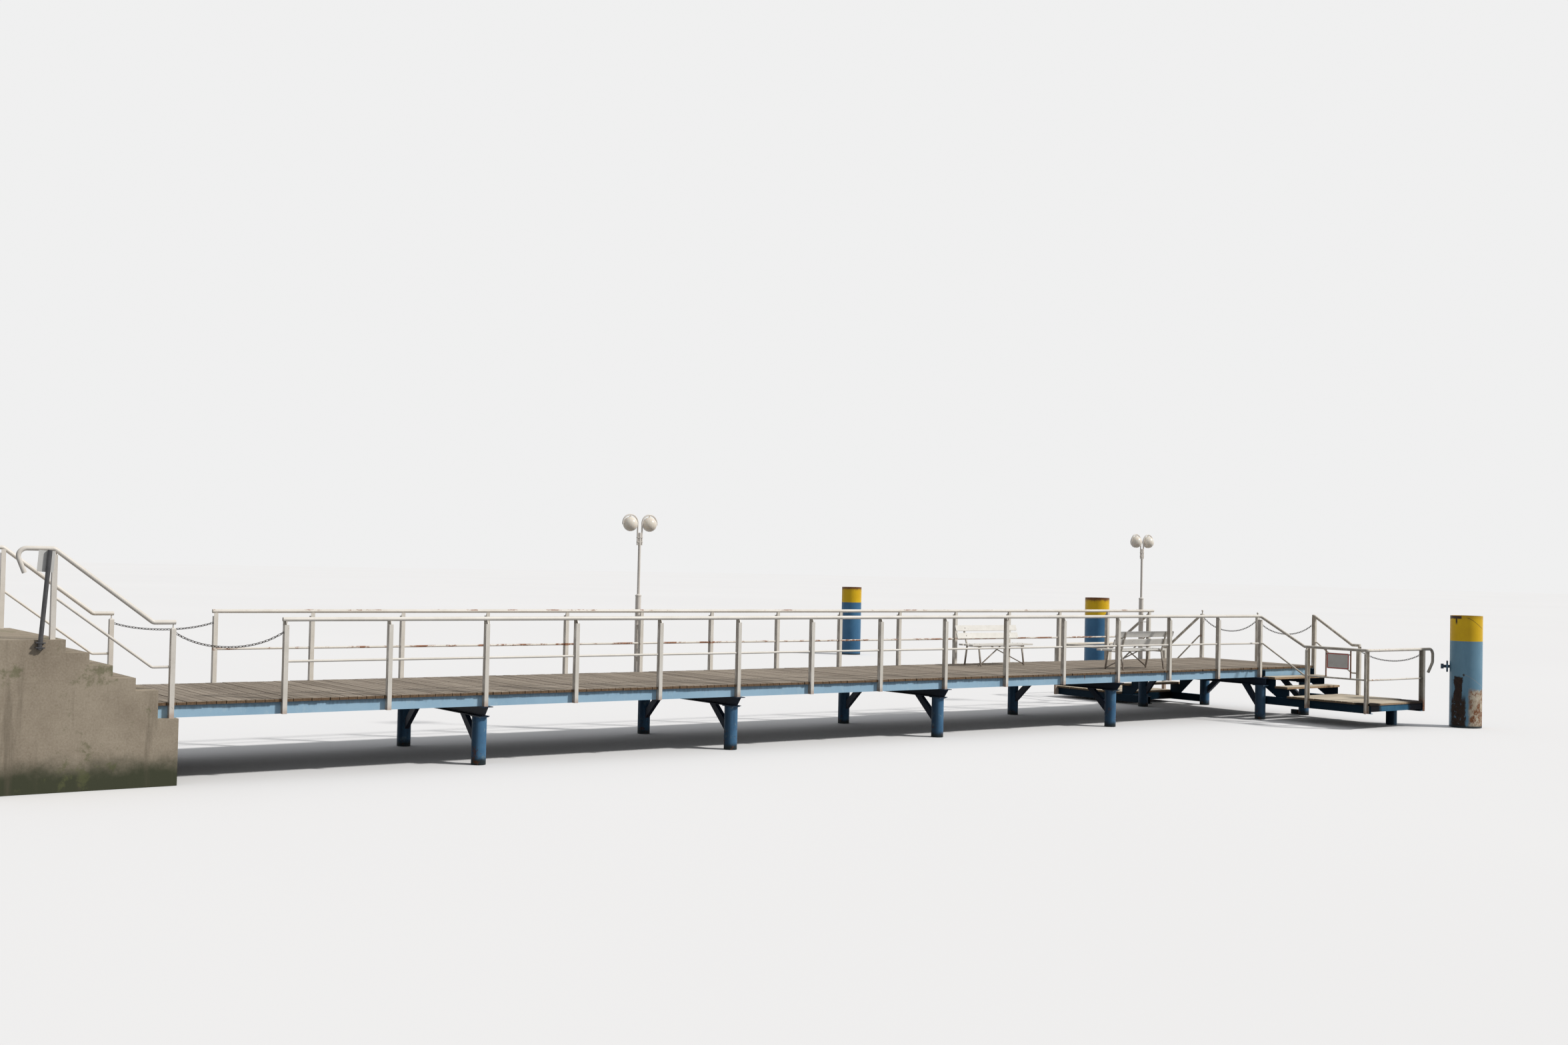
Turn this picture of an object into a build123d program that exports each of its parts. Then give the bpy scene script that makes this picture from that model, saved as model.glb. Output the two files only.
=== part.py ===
"""Timber jetty on steel pipe piles, with a T-shaped head and a low landing on each side.

Millimetres. X runs from the shore to the head, Y to the far side, Z up from the water line.
The origin is the middle of the underside of the shore steps, on the jetty's centre line.
"""
from build123d import *
from math import atan2, cosh, degrees, sinh, sqrt, tan
import os

os.makedirs("parts", exist_ok=True)

# Levels and walkway
deck_height = 1050.0          # top of the boards above the water line
board_thickness = 42.0
board_overhang = 50.0         # boards past the web of the beam that carries them
post_line = 1490.0            # railing posts from the centre line
notch_gap = 3.0               # boards clear of a post that they are notched round

# Stations along the walkway
bay = 1463.0
bay_count = 14                # bays of the usual length, from the foot of the shore steps
bays_per_bent = 3
last_bay = 1318.0
head_length = 1800.0          # last walkway post to the corner of the head
foot_post_setback = 190.0     # first post from the foot of the shore steps
deck_end_overhang = 30.0
seat_gap = 0.3                # between curved faces that rest on each other

# Posts and tubes
post_width = 60.0             # along the walkway
post_depth = 80.0             # across it
post_plate = 6.0              # wall that runs on up to the rail
post_rib = 8.0
rib_reach = 18.0              # rib past the middle of the rail
channel_post_width = 100.0
channel_post_depth = 50.0
channel_post_wall = 7.0
corner_post_depth = 60.0
post_bevel = 12.0
rail_height = 1050.0          # centre of the top rail above the boards
rail_diameter = 58.0
mid_rail_height = 493.0
mid_rail_diameter = 34.0
rail_gap = 45.0               # top of a post to the underside of the rail
rail_pin_diameter = 18.0
rail_bend_radius = 70.0
rail_end_length = 45.0        # rail past its first post
far_rail_end = 150.0          # far rail past its last post
finial_diameter = 44.0
finial_pin = 26.0
corner_post_height = 985.0
stair_rail_height = 930.0     # upper end of a handrail that starts at a post
rail_corner_radius = 40.0
weld_depth = 10.0             # braces and stubs run this far into a pile

# Beams
beam_height = 160.0
beam_flange = 65.0
beam_web = 8.0
beam_flange_thickness = 11.0
joist_width = 100.0
joist_spacing = 966.0

# Pile bents
pile_diameter = 212.0
pile_inset = 170.0            # pile axis inside the post line
pile_cap_size = 270.0
pile_cap_thickness = 12.0
headstock_height = 152.0
headstock_width = 160.0
headstock_web = 8.0
headstock_flange = 11.0
headstock_overhang = 100.0    # headstock past the post line
headstock_clearance = 10.0    # headstock short of the stairs under the head
headstock_taper = 110.0
brace_reach = 470.0           # knee brace from the pile's side along the headstock
brace_drop = 430.0
brace_depth = 118.0
brace_thickness = 70.0
end_bent_setback = 90.0       # last bent inside the corner of the head
stair_pile_out = 70.0         # piles of the bent at the stairs outside the post line
stair_brace_reach = 335.0
stub_length = 200.0
stub_height = 95.0
stub_level = 4.0

# Shore steps
step_count = 5
step_rise = 163.0
step_going = 280.0
shore_landing_length = 980.0
steps_edge = 110.0            # sides of the steps from the post line
bearing_ledge = 260.0         # concrete ledge under the ends of the beams
shore_post_setback = 135.0    # top handrail post from the first step
shore_rail_low = 1018.0       # level end of the shore handrail above the boards
shore_rail_high = 1925.0      # its upper end above the boards
shore_rail_run = 1200.0       # its slope, measured level
shore_rail_knee = 60.0        # its lower knee from the foot of the steps
shore_mid_low = 450.0
shore_mid_high = 1345.0
shore_curl_length = 458.0
shore_curl_drop = 300.0
shore_curl_return = 120.0
shore_curl_radius = 95.0

# Head stairs and landings
near_rise_count = 3
near_drop = 538.0
near_going = 333.0
far_rise_count = 4
far_drop = 790.0
far_going = 270.0
near_reach = 2580.0           # end of the landing's side beams from the post line
far_reach = 2830.0
landing_post_inset = 60.0     # outer posts from the end of the side beams
landing_edge = 10.0           # front edge of the boards past the side beams
landing_front_beam = 120.0
landing_rail_height = 1022.0
tread_thickness = 45.0
tread_nosing = 22.0
tread_end_inset = 30.0
stringer_thickness = 12.0
stringer_heel = 125.0         # foot of a stringer under the edge beam
stringer_seat = 310.0         # its seat on the landing's beam from the foot of the stair
stringer_lug = 110.0
stringer_lug_top = 60.0
stringer_side = 92.0          # stringer from the post line of its stair
knee_post_distance = 1160.0   # left stair-foot post from the post line
right_knee_post_distance = 1090.0
rail_past_knee = 30.0
landing_mid_rail_height = 447.0
curl_reach = 395.0            # landing rail past its last post
curl_drop = 260.0
curl_tail = 200.0
curl_return = 150.0
curl_radius = 120.0
landing_pile_distance = 2000.0
landing_pile_inset = 175.0    # outer pile from the right side beam
far_landing_rail_height = 965.0

# Landing sign
sign_start = 1590.0
sign_width = 560.0
sign_margin = 30.0            # leg to the edge of the panel
sign_corner = 18.0
sign_height = 310.0
sign_thickness = 5.0
sign_leg = 22.0
sign_drop = 78.0

# Notice post on the shore landing
notice_post_diameter = 55.0
notice_post_length = 1215.0
notice_lean = 4.0
notice_clamp_depth = 120.0    # foot of the post below the landing
notice_clamp_levels = (20.0, 80.0)
notice_clamp_width = 110.0
notice_clamp_thickness = 14.0
notice_clamp_wall = 6.0
notice_width = 190.0
notice_height = 262.0
notice_thickness = 4.0
notice_setback = 170.0
notice_edge = 8.0
notice_shift = 25.0
notice_gap = 3.0
notice_corner = 10.0

# Lamps
lamp_offset = 150.0           # mast axis outside the far post line
lamp_base_diameter = 100.0
lamp_base_top = 1340.0
lamp_reducer = 40.0
lamp_ring = 5.0               # ring at the reducer proud of the base
lamp_shaft_diameter = 50.0
lamp_top = 2410.0
lamp_cap_diameter = 62.0
lamp_cap_height = 88.0
lamp_cap_bevel = 6.0
lamp_foot_size = 180.0
lamp_foot_corner = 12.0
lamp_foot_thickness = 14.0
lamp_bracket_width = 122.0
lamp_bracket_thickness = 12.0
lamp_bracket_levels = (250.0, 800.0)
lamp_arm_diameter = 28.0
lamp_arm_spacing = 44.0       # arm tube from the mast axis
lamp_arm_foot = 2190.0
lamp_arch_radius = 150.0
lamp_arch_level = 2570.0
lamp_arch_tail = 25.0
lamp_clamp_levels = (2240.0, 2320.0)
lamp_clamp_height = 12.0
lamp_clamp_width = 42.0
lamp_clamp_edge = 5.0
globe_diameter = 256.0
globe_neck = 10.0
globe_collar = 46.0
globe_pin = 12.0
first_lamp_shift = 25.0
second_lamp_shift = 81.0

# Benches
bench_length = 1645.0
bench_leg_spacing = 1160.0
bench_seat_height = 425.0
bench_seat_depth = 400.0
bench_slat_thickness = 32.0
bench_back_thickness = 24.0
bench_slat_width = 112.0
bench_slat_gap = 32.0
bench_slat_corner = 14.0
bench_back_height = 780.0
bench_back_gap = 44.0
second_bench_lower = 28.0
bench_back_lean = 120.0
bench_bar = 26.0
bench_foot_spread = 60.0
first_bench_x = 17858.0
first_bench_back = 1190.0
second_bench_x = 19850.0
second_bench_back = 1260.0

# Mooring dolphins
dolphin_diameters = (610.0, 645.0, 645.0)
dolphin_height = 2220.0
dolphin_wall = 22.0
dolphin_plate_depth = 18.0
dolphin_places = ((25640.0, -4490.0), (28250.0, 7870.0), (29250.0, 19710.0))
bollard_turn = 58.0           # bollard from the shoreward side towards the far side
bollard_reach = 165.0
bollard_diameter = 100.0
bollard_knob = 55.0
bollard_flange = 226.0
bollard_flange_gap = 28.0
bollard_flange_thickness = 34.0
bollard_root = 30.0           # bollard let into the skin of the dolphin
bollard_level = 1196.0

# Chains
chain_diameter = 26.0
chain_height = 880.0          # above the boards that it guards
chain_sag = 190.0
head_chain_sag = 250.0
landing_chain_height = 910.0
landing_chain_sag = 160.0
chain_eye = 35.0
chain_points = 7

# Levels and places that follow
beam_top = deck_height - board_thickness
beam_foot = beam_top - beam_height
rail_level = deck_height + rail_height
mid_level = deck_height + mid_rail_height
stair_rail_level = deck_height + stair_rail_height
steps_half_width = post_line + steps_edge
steps_length = shore_landing_length + (step_count - 1) * step_going
deck_start = steps_length / 2
shore_level = deck_height + step_count * step_rise
web_face = post_line - post_depth / 2
board_edge = web_face + board_overhang
stations = [deck_start + foot_post_setback + k * bay for k in range(bay_count + 1)]
stations.append(stations[-1] + last_bay)
stair_x = stations[-1]
head_x = stair_x + head_length
deck_end = head_x + deck_end_overhang
end_bent_x = head_x - end_bent_setback
pile_y = post_line - pile_inset
pile_top = beam_foot - headstock_height
headstock_end = post_line + headstock_overhang
landing_left_web = stair_x + channel_post_width / 2
landing_right_web = head_x - post_width / 2
bent_stations = [stations[k] for k in range(bays_per_bent, bay_count, bays_per_bent)]
stair_bent_x = landing_left_web - pile_diameter / 2 - seat_gap
stair_pile_y = post_line + stair_pile_out
lamp_stations = (stations[2 * bays_per_bent] + first_lamp_shift, stair_x - second_lamp_shift)


def save(builder, name):
    """Label a finished piece and write it as its own file."""
    builder.part.label = name
    export_step(builder.part, f"parts/{name}.step")


def tube(points, radii, diameter):
    """Add a bent tube: straight runs through the points, with a tangent arc at each corner."""
    with BuildLine() as route:
        FilletPolyline(*points, radius=radii)
    with BuildSketch(route.line ^ 0) as section:
        Circle(diameter / 2)
    sweep(section.sketch, path=route.line)


def straight_tube(start, end, diameter):
    """Add a straight tube from one point to another."""
    with BuildLine() as route:
        Line(start, end)
    with BuildSketch(route.line ^ 0) as section:
        Circle(diameter / 2)
    sweep(section.sketch, path=route.line)


def channel_profile(web_at, opens, top, height=beam_height):
    """Draw a channel section: its web at one horizontal place, its flanges to one side."""
    middle = web_at + opens * beam_flange / 2
    with Locations((middle, top - height / 2)):
        Rectangle(beam_flange, height)
    hollow = beam_flange - beam_web
    with Locations((web_at + opens * (beam_web + hollow / 2), top - height / 2)):
        Rectangle(hollow, height - 2 * beam_flange_thickness, mode=Mode.SUBTRACT)


def post(x, y, foot, top, width=post_width, depth=post_depth):
    """Add a rectangular post."""
    with BuildSketch(Plane.XY.offset(foot)) as shank:
        with Locations((x, y)):
            Rectangle(width, depth)
    extrude(shank.sketch, amount=top - foot)


def capped_post(x, y, foot, top, width=post_width, depth=post_depth):
    """Add a post that ends free, with a bevelled head."""
    post(x, y, foot, top - post_bevel, width, depth)
    with BuildSketch(Plane.XY.offset(top - post_bevel)) as head:
        with Locations((x, y)):
            Rectangle(width, depth)
    extrude(head.sketch, amount=post_bevel, taper=45)


def pinned_post(x, y, foot, level):
    """Add a post with the round pin that holds the end of a rail over it."""
    top = post_head(level)
    capped_post(x, y, foot, top)
    with BuildSketch(Plane.XY.offset(top - post_bevel)) as pin:
        with Locations((x, y)):
            Circle(rail_pin_diameter / 2)
    extrude(pin.sketch, amount=tube_underside(level) - top + post_bevel)


def rail_post(x, y, foot, level, across):
    """Add a post under a rail: its wall on the side called across runs on up, with a rib to the rail.

    Across is (0, 1) or (0, -1) for a rail along X, and (1, 0) for a rail along Y.
    """
    top = post_head(level)
    under = tube_underside(level)
    post(x, y, foot, top)
    across_x, across_y = across
    half = (post_width if across_x else post_depth) / 2
    plate_size = (post_plate, post_depth) if across_x else (post_width, post_plate)
    plate_out = half - post_plate / 2
    with BuildSketch(Plane.XY.offset(top)) as plate:
        with Locations((x + across_x * plate_out, y + across_y * plate_out)):
            Rectangle(*plate_size)
    extrude(plate.sketch, amount=under - top)
    rib_plane = Plane(origin=(x, y, 0), x_dir=(across_x, across_y, 0), z_dir=(across_y, -across_x, 0))
    with BuildSketch(rib_plane.offset(-post_rib / 2)) as rib:
        with BuildLine():
            inner = half - post_plate / 2
            rib_outline = [(inner, top - post_plate), (inner, under), (-rib_reach, under)]
            rib_outline += [(-half, top), (-half, top - post_plate)]
            Polyline(*rib_outline, close=True)
        make_face()
    extrude(rib.sketch, amount=post_rib)


def channel_post(x, y, foot, level, opens):
    """Add a landing post of channel section, open to -Y or +Y, its head cut to a slope."""
    under = tube_underside(level)
    with BuildSketch(Plane.XY.offset(foot)) as shank:
        with Locations((x, y)):
            Rectangle(channel_post_width, channel_post_depth)
        with Locations((x, y + opens * channel_post_wall)):
            hollow = channel_post_width - 2 * channel_post_wall
            Rectangle(hollow, channel_post_depth, mode=Mode.SUBTRACT)
    extrude(shank.sketch, amount=under - foot)
    side = x - channel_post_width / 2
    with BuildSketch(Plane.XZ.offset(-y - channel_post_depth)) as slope:
        with BuildLine():
            slope_outline = [(side, post_head(level)), (side, under), (x - rib_reach, under)]
            Polyline(*slope_outline, close=True)
        make_face()
    extrude(slope.sketch, amount=2 * channel_post_depth, mode=Mode.SUBTRACT)


def tube_underside(level):
    """Level just inside the underside of a top rail, where its posts are welded."""
    return level - rail_diameter / 2 + 4.0


def post_head(level):
    """Top of a post that stands under a rail at this level."""
    return level - rail_diameter / 2 - rail_gap


# Shore steps: a solid concrete flight with a landing and a ledge for the beams
with BuildPart() as shore_steps:
    with BuildSketch(Plane.XZ.offset(-steps_half_width)):
        with BuildLine():
            x = -steps_length / 2
            outline = [(x, 0), (x, shore_level), (x + shore_landing_length, shore_level)]
            for step in range(1, step_count):
                edge = x + shore_landing_length + (step - 1) * step_going
                level = shore_level - step * step_rise
                outline += [(edge, level), (edge + step_going, level)]
            outline += [(deck_start, beam_foot), (deck_start + bearing_ledge, beam_foot)]
            outline += [(deck_start + bearing_ledge, 0)]
            Polyline(*outline, close=True)
        make_face()
    extrude(amount=2 * steps_half_width)
save(shore_steps, "shore_steps")

# Shore handrails: one bent tube each, with a curl over the landing
shore_post_x = deck_start - (step_count - 1) * step_going - shore_post_setback
knee_low_x = deck_start - shore_rail_knee
knee_high_x = knee_low_x - shore_rail_run
for side, name in ((-1, "shore_handrail_near"), (1, "shore_handrail_far")):
    y = side * post_line
    low = deck_height + shore_rail_low
    high = deck_height + shore_rail_high
    mid_low = deck_height + shore_mid_low
    mid_high = deck_height + shore_mid_high
    curl_x = shore_post_x - shore_curl_length
    with BuildPart() as handrail:
        rail_post(shore_post_x, y, shore_level, high, (0, -side))
        pinned_post(stations[0], y, beam_foot, low)
        tube(
            [
                (curl_x + shore_curl_return, y, high - shore_curl_drop),
                (curl_x, y, high),
                (knee_high_x, y, high),
                (knee_low_x, y, low),
                (stations[0] + rail_diameter / 2, y, low),
            ],
            [shore_curl_radius, rail_bend_radius, rail_bend_radius],
            rail_diameter,
        )
        tube(
            [
                (knee_high_x, y, mid_high),
                (knee_low_x, y, mid_low),
                (stations[0], y, mid_low),
            ],
            [rail_bend_radius],
            mid_rail_diameter,
        )
    save(handrail, name)

# Notice post: a leaning round post clamped to the side of the steps, with a blank board
notice_x = shore_post_x - notice_setback
notice_y = -steps_half_width - notice_post_diameter / 2 - notice_clamp_wall
notice_foot = shore_level - notice_clamp_depth
notice_run = Vector(0, 0, 1).rotate(Axis.Y, notice_lean)
notice_plane = Plane(origin=(notice_x, notice_y, notice_foot), x_dir=(0, 1, 0), z_dir=notice_run)
with BuildPart() as notice_post:
    with BuildSketch(notice_plane):
        Circle(notice_post_diameter / 2)
    extrude(amount=notice_post_length)
    for clamp in notice_clamp_levels:
        with BuildSketch(notice_plane.offset(clamp)):
            clamp_depth = notice_post_diameter + 2 * notice_clamp_wall
            RectangleRounded(clamp_depth, notice_clamp_width, notice_clamp_wall)
        extrude(amount=notice_clamp_thickness)
    board_y = notice_y + notice_post_diameter / 2 + notice_gap
    board_face = Plane(
        origin=(notice_x, board_y, notice_foot),
        x_dir=(notice_run.Z, 0, -notice_run.X),
        z_dir=(0, -1, 0),
    )
    board_middle = notice_post_length - notice_height / 2 - notice_edge
    with BuildSketch(board_face):
        with Locations((-notice_shift, board_middle)):
            RectangleRounded(notice_width, notice_height, notice_corner)
    extrude(amount=-notice_thickness)
    with BuildSketch(board_face):
        for side in (-1, 1):
            with Locations((0, board_middle + side * notice_height / 4)):
                Rectangle(notice_post_diameter * 0.4, notice_post_diameter * 0.3)
    extrude(amount=notice_post_diameter / 4)
save(notice_post, "notice_post")


def deck_slab(name, start, end, posts, end_posts=()):
    """A length of boarding, notched round the posts at its sides and at its end."""
    with BuildPart() as slab:
        with BuildSketch(Plane.XY.offset(beam_top)):
            with Locations(((start + end) / 2, 0)):
                Rectangle(end - start, 2 * board_edge)
            with Locations(*posts):
                notch_size = (post_width + 2 * notch_gap, post_depth + 2 * notch_gap)
                Rectangle(*notch_size, mode=Mode.SUBTRACT)
            for place in end_posts:
                with Locations(place):
                    notch_size = (post_depth + 2 * notch_gap, post_width + 2 * notch_gap)
                    Rectangle(*notch_size, mode=Mode.SUBTRACT)
        extrude(amount=board_thickness)
    save(slab, name)


deck_joints = [deck_start, bent_stations[0], bent_stations[2], stair_x, deck_end]
deck_names = ["deck_shore_end", "deck_middle", "deck_outer_end", "deck_head"]
corner_places = [(head_x, side * post_line) for side in (-1, 1)]
mid_post_x = head_x + post_depth / 2
post_places = [(x, side * post_line) for x in stations for side in (-1, 1)]
post_places += corner_places
for name, start, end in zip(deck_names, deck_joints, deck_joints[1:]):
    near_by = [p for p in post_places if start - post_depth < p[0] < end + post_depth]
    deck_slab(name, start, end, near_by, [(mid_post_x, 0)] if end == deck_end else ())

# Beams under the boards: channels at the edges and across the end, timber joists between
with BuildPart() as edge_beams:
    for side in (-1, 1):
        with BuildSketch(Plane.YZ.offset(deck_start)):
            channel_profile(side * web_face, -side, beam_top)
        extrude(amount=head_x - deck_start)
save(edge_beams, "edge_beams")

end_beam_half = web_face - beam_flange
with BuildPart() as end_beam:
    with BuildSketch(Plane.XZ.offset(-end_beam_half)):
        channel_profile(head_x, -1, beam_top)
    extrude(amount=2 * end_beam_half)
save(end_beam, "end_beam")

with BuildPart() as inner_joists:
    with BuildSketch(Plane.YZ.offset(deck_start)):
        with Locations((-joist_spacing / 2, beam_top - beam_height / 2)):
            Rectangle(joist_width, beam_height)
        with Locations((joist_spacing / 2, beam_top - beam_height / 2)):
            Rectangle(joist_width, beam_height)
    extrude(amount=head_x - beam_flange - deck_start)
save(inner_joists, "inner_joists")


def bent(name, x, pile_at, arm_end, reach=brace_reach, tapered=True, with_stub=False):
    """Two pipe piles with cap plates, the headstock on them and its two knee braces."""
    with BuildPart() as frame:
        with BuildSketch(Plane.XY):
            with Locations((x, -pile_at), (x, pile_at)):
                Circle(pile_diameter / 2)
        extrude(amount=pile_top - pile_cap_thickness)
        with BuildSketch(Plane.XY.offset(pile_top - pile_cap_thickness)):
            with Locations((x, -pile_at), (x, pile_at)):
                Rectangle(headstock_width, pile_cap_size)
        extrude(amount=pile_cap_thickness)
        with BuildSketch(Plane.XZ.offset(-arm_end)):
            with Locations((x, pile_top + headstock_height / 2)):
                Rectangle(headstock_width, headstock_height)
            side_cut = (headstock_width - headstock_web) / 2
            for side in (-1, 1):
                place = (x + side * (headstock_web + side_cut) / 2, pile_top + headstock_height / 2)
                with Locations(place):
                    Rectangle(side_cut, headstock_height - 2 * headstock_flange, mode=Mode.SUBTRACT)
        extrude(amount=2 * arm_end)
        for side in (-1, 1):
            if tapered:
                with BuildSketch(Plane.YZ.offset(x - headstock_width / 2)):
                    with BuildLine():
                        Polyline(
                            (side * (arm_end - headstock_taper), pile_top),
                            (side * arm_end, pile_top + headstock_height - headstock_flange),
                            (side * arm_end, pile_top),
                            close=True,
                        )
                    make_face()
                extrude(amount=headstock_width, mode=Mode.SUBTRACT)
            pile_side = side * (pile_at - pile_diameter / 2 + weld_depth)
            far_foot = side * (pile_at - pile_diameter / 2 - reach)
            with BuildSketch(Plane.YZ.offset(x - brace_thickness / 2)):
                with BuildLine():
                    Polyline(
                        (pile_side, pile_top - brace_drop),
                        (far_foot, pile_top),
                        (far_foot + side * brace_depth * 1.35, pile_top),
                        (pile_side, pile_top - brace_drop + brace_depth * 1.35),
                        close=True,
                    )
                make_face()
            extrude(amount=brace_thickness)
        if with_stub:
            with BuildSketch(Plane.YZ.offset(x - brace_thickness / 2)):
                stub_y = -pile_at + pile_diameter / 2 + stub_length / 2 - weld_depth
                with Locations((stub_y, stub_level + stub_height / 2)):
                    Rectangle(stub_length, stub_height)
            extrude(amount=brace_thickness)
    save(frame, name)


for number, x in enumerate(bent_stations, start=1):
    bent(f"pile_bent_{number}", x, pile_y, headstock_end)
stair_arm = stair_pile_y + pile_cap_size / 2
bent("pile_bent_5", stair_bent_x, stair_pile_y, stair_arm, stair_brace_reach, tapered=False)
end_arm = web_face - headstock_clearance
bent("pile_bent_6", end_bent_x, pile_y, end_arm, tapered=False, with_stub=True)


def stair_knee(side, drop, rail_above):
    """Where the handrail down a stair turns level over the landing, beside its last post."""
    level = deck_height - drop + rail_above
    return Vector(stair_x, side * (post_line + knee_post_distance - rail_bend_radius), level)


# Railings: posts outside the beams, a top rail over them and a thinner rail half way up
rail_posts = stations[1:]
near_corner = Vector(stair_x, -post_line, rail_level)
near_slope = stair_knee(-1, near_drop, landing_rail_height) - near_corner
near_turn = near_slope.normalized() * 2 * rail_bend_radius
rail_start = rail_posts[0] - rail_end_length
with BuildPart() as railing_near:
    for x in rail_posts[:-1]:
        rail_post(x, -post_line, beam_foot, rail_level, (0, 1))
    post(stair_x, -post_line, beam_foot, post_head(rail_level))
    tube(
        [(rail_start, -post_line, rail_level), near_corner, near_corner + near_turn],
        [rail_bend_radius],
        rail_diameter,
    )
    straight_tube(
        (rail_posts[0], -post_line, mid_level), (stair_x, -post_line, mid_level), mid_rail_diameter
    )
save(railing_near, "railing_near")

with BuildPart() as railing_far:
    for x in rail_posts:
        rail_post(x, post_line, beam_foot, rail_level, (0, -1))
    far_stop = stair_x + far_rail_end
    straight_tube(
        (rail_start, post_line, rail_level), (far_stop, post_line, rail_level), rail_diameter
    )
    straight_tube(
        (rail_posts[0], post_line, mid_level), (stair_x, post_line, mid_level), mid_rail_diameter
    )
save(railing_far, "railing_far")

# Head posts with a ball on top: one at the far corner and one half way along the end
with BuildPart() as head_posts:
    top = deck_height + corner_post_height
    capped_post(*corner_places[1], beam_foot, top)
    capped_post(mid_post_x, 0, beam_foot, top, post_depth, post_width)
    for x, y in (corner_places[1], (mid_post_x, 0)):
        with BuildSketch(Plane.XY.offset(top - post_bevel)):
            with Locations((x, y)):
                Circle(finial_pin / 2)
        extrude(amount=rail_level - top)
        with Locations((x, y, rail_level)):
            Sphere(finial_diameter / 2)
save(head_posts, "head_posts")


def stair_and_landing(label, side, drop, rises, going, reach, rail_above):
    """The stair down from one side of the head and the landing at its foot."""
    rise = drop / rises
    level = deck_height - drop
    frame_top = level - board_thickness
    frame_foot = frame_top - beam_height
    stair_end = post_line + (rises - 1) * going
    reach_end = post_line + reach
    outer_post = reach_end - landing_post_inset
    knee_post = post_line + knee_post_distance
    right_knee_post = post_line + right_knee_post_distance
    rail = level + rail_above
    mid = level + landing_mid_rail_height

    # Outer corner posts: the left one nearly in line with the rail, the right one past it
    left_corner = outer_post - channel_post_depth / 5
    right_corner = outer_post + channel_post_width / 5

    # Stair stringers: steel plates cut to carry the treads, hung on the edge beam
    with BuildPart() as stringers:
        for x in (stair_x + stringer_side, head_x - stringer_side):
            with BuildSketch(Plane.YZ.offset(x - stringer_thickness / 2)):
                with BuildLine():
                    lug_end = web_face + stringer_lug
                    under = deck_height - rise - tread_thickness
                    seat = stair_end - stringer_seat
                    heel = beam_foot - stringer_heel
                    outline = [(web_face, heel), (web_face, deck_height - stringer_lug_top)]
                    outline += [(lug_end, deck_height - stringer_lug_top), (lug_end, under)]
                    for step in range(1, rises):
                        under = deck_height - step * rise - tread_thickness
                        nose = post_line + step * going
                        last = step == rises - 1
                        next_under = frame_top if last else under - rise
                        outline += [(nose, under), (nose, next_under)]
                    outline += [(seat, frame_top)]
                    Polyline(*[(side * a, b) for a, b in outline], close=True)
                make_face()
            extrude(amount=stringer_thickness)
    save(stringers, f"{label}_stair_stringers")

    # Treads: one thick board each
    with BuildPart() as treads:
        for step in range(1, rises):
            back = post_line + (step - 1) * going + tread_nosing
            back = max(back, web_face + stringer_lug + notch_gap)
            front = post_line + step * going + tread_nosing
            if step == rises - 1:
                front = stair_end - notch_gap
            with BuildSketch(Plane.XY.offset(deck_height - step * rise - tread_thickness)):
                middle = (stair_x + head_x) / 2
                with Locations((middle, side * (back + front) / 2)):
                    Rectangle(head_length - 2 * tread_end_inset, front - back)
            extrude(amount=tread_thickness)
    save(treads, f"{label}_stair_treads")

    # Landing frame: side beams back to the piles of the head, cross beams and an outer pile
    left_web = landing_left_web
    right_web = landing_right_web
    front_web = reach_end - landing_edge
    with BuildPart() as frame:
        right_start = pile_y + pile_diameter / 2
        for web_x, opens, start in ((left_web, 1, web_face), (right_web, -1, right_start)):
            with BuildSketch(Plane.XZ.offset(-side * start)):
                channel_profile(web_x, opens, frame_top)
            extrude(amount=-side * (reach_end - start))
        for web_y, opens, height in ((stair_end, 1, beam_height), (front_web, -1, landing_front_beam)):
            with BuildSketch(Plane.YZ.offset(left_web + beam_web)):
                channel_profile(side * web_y, side * opens, frame_top, height)
            extrude(amount=right_web - left_web - 2 * beam_web)
        with BuildSketch(Plane.XY):
            pile_x = right_web - landing_pile_inset
            with Locations((pile_x, side * (post_line + landing_pile_distance))):
                Circle(pile_diameter / 2)
        extrude(amount=frame_foot)
        with BuildSketch(Plane.YZ.offset(left_web + beam_web)):
            cross_y = side * (post_line + landing_pile_distance)
            channel_profile(cross_y, side, frame_top)
        extrude(amount=right_web - left_web - 2 * beam_web)
    save(frame, f"{label}_landing_frame")

    # Landing boards, notched round the posts at their sides
    with BuildPart() as boards:
        left_edge = left_web - board_overhang
        right_edge = right_web + board_overhang
        with BuildSketch(Plane.XY.offset(frame_top)):
            front_edge = reach_end + landing_edge
            with Locations(((left_edge + right_edge) / 2, side * (stair_end + front_edge) / 2)):
                Rectangle(right_edge - left_edge, front_edge - stair_end)
            for x, post_y, width, depth in (
                (stair_x, knee_post, channel_post_width, channel_post_depth),
                (stair_x, left_corner, channel_post_width, channel_post_depth),
                (head_x, right_knee_post, post_width, post_depth),
                (head_x, right_corner, corner_post_depth, channel_post_width),
            ):
                with Locations((x, side * post_y)):
                    notch_size = (width + 2 * notch_gap, depth + 2 * notch_gap)
                    Rectangle(*notch_size, mode=Mode.SUBTRACT)
        extrude(amount=board_thickness)
    save(boards, f"{label}_landing_deck")

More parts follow.
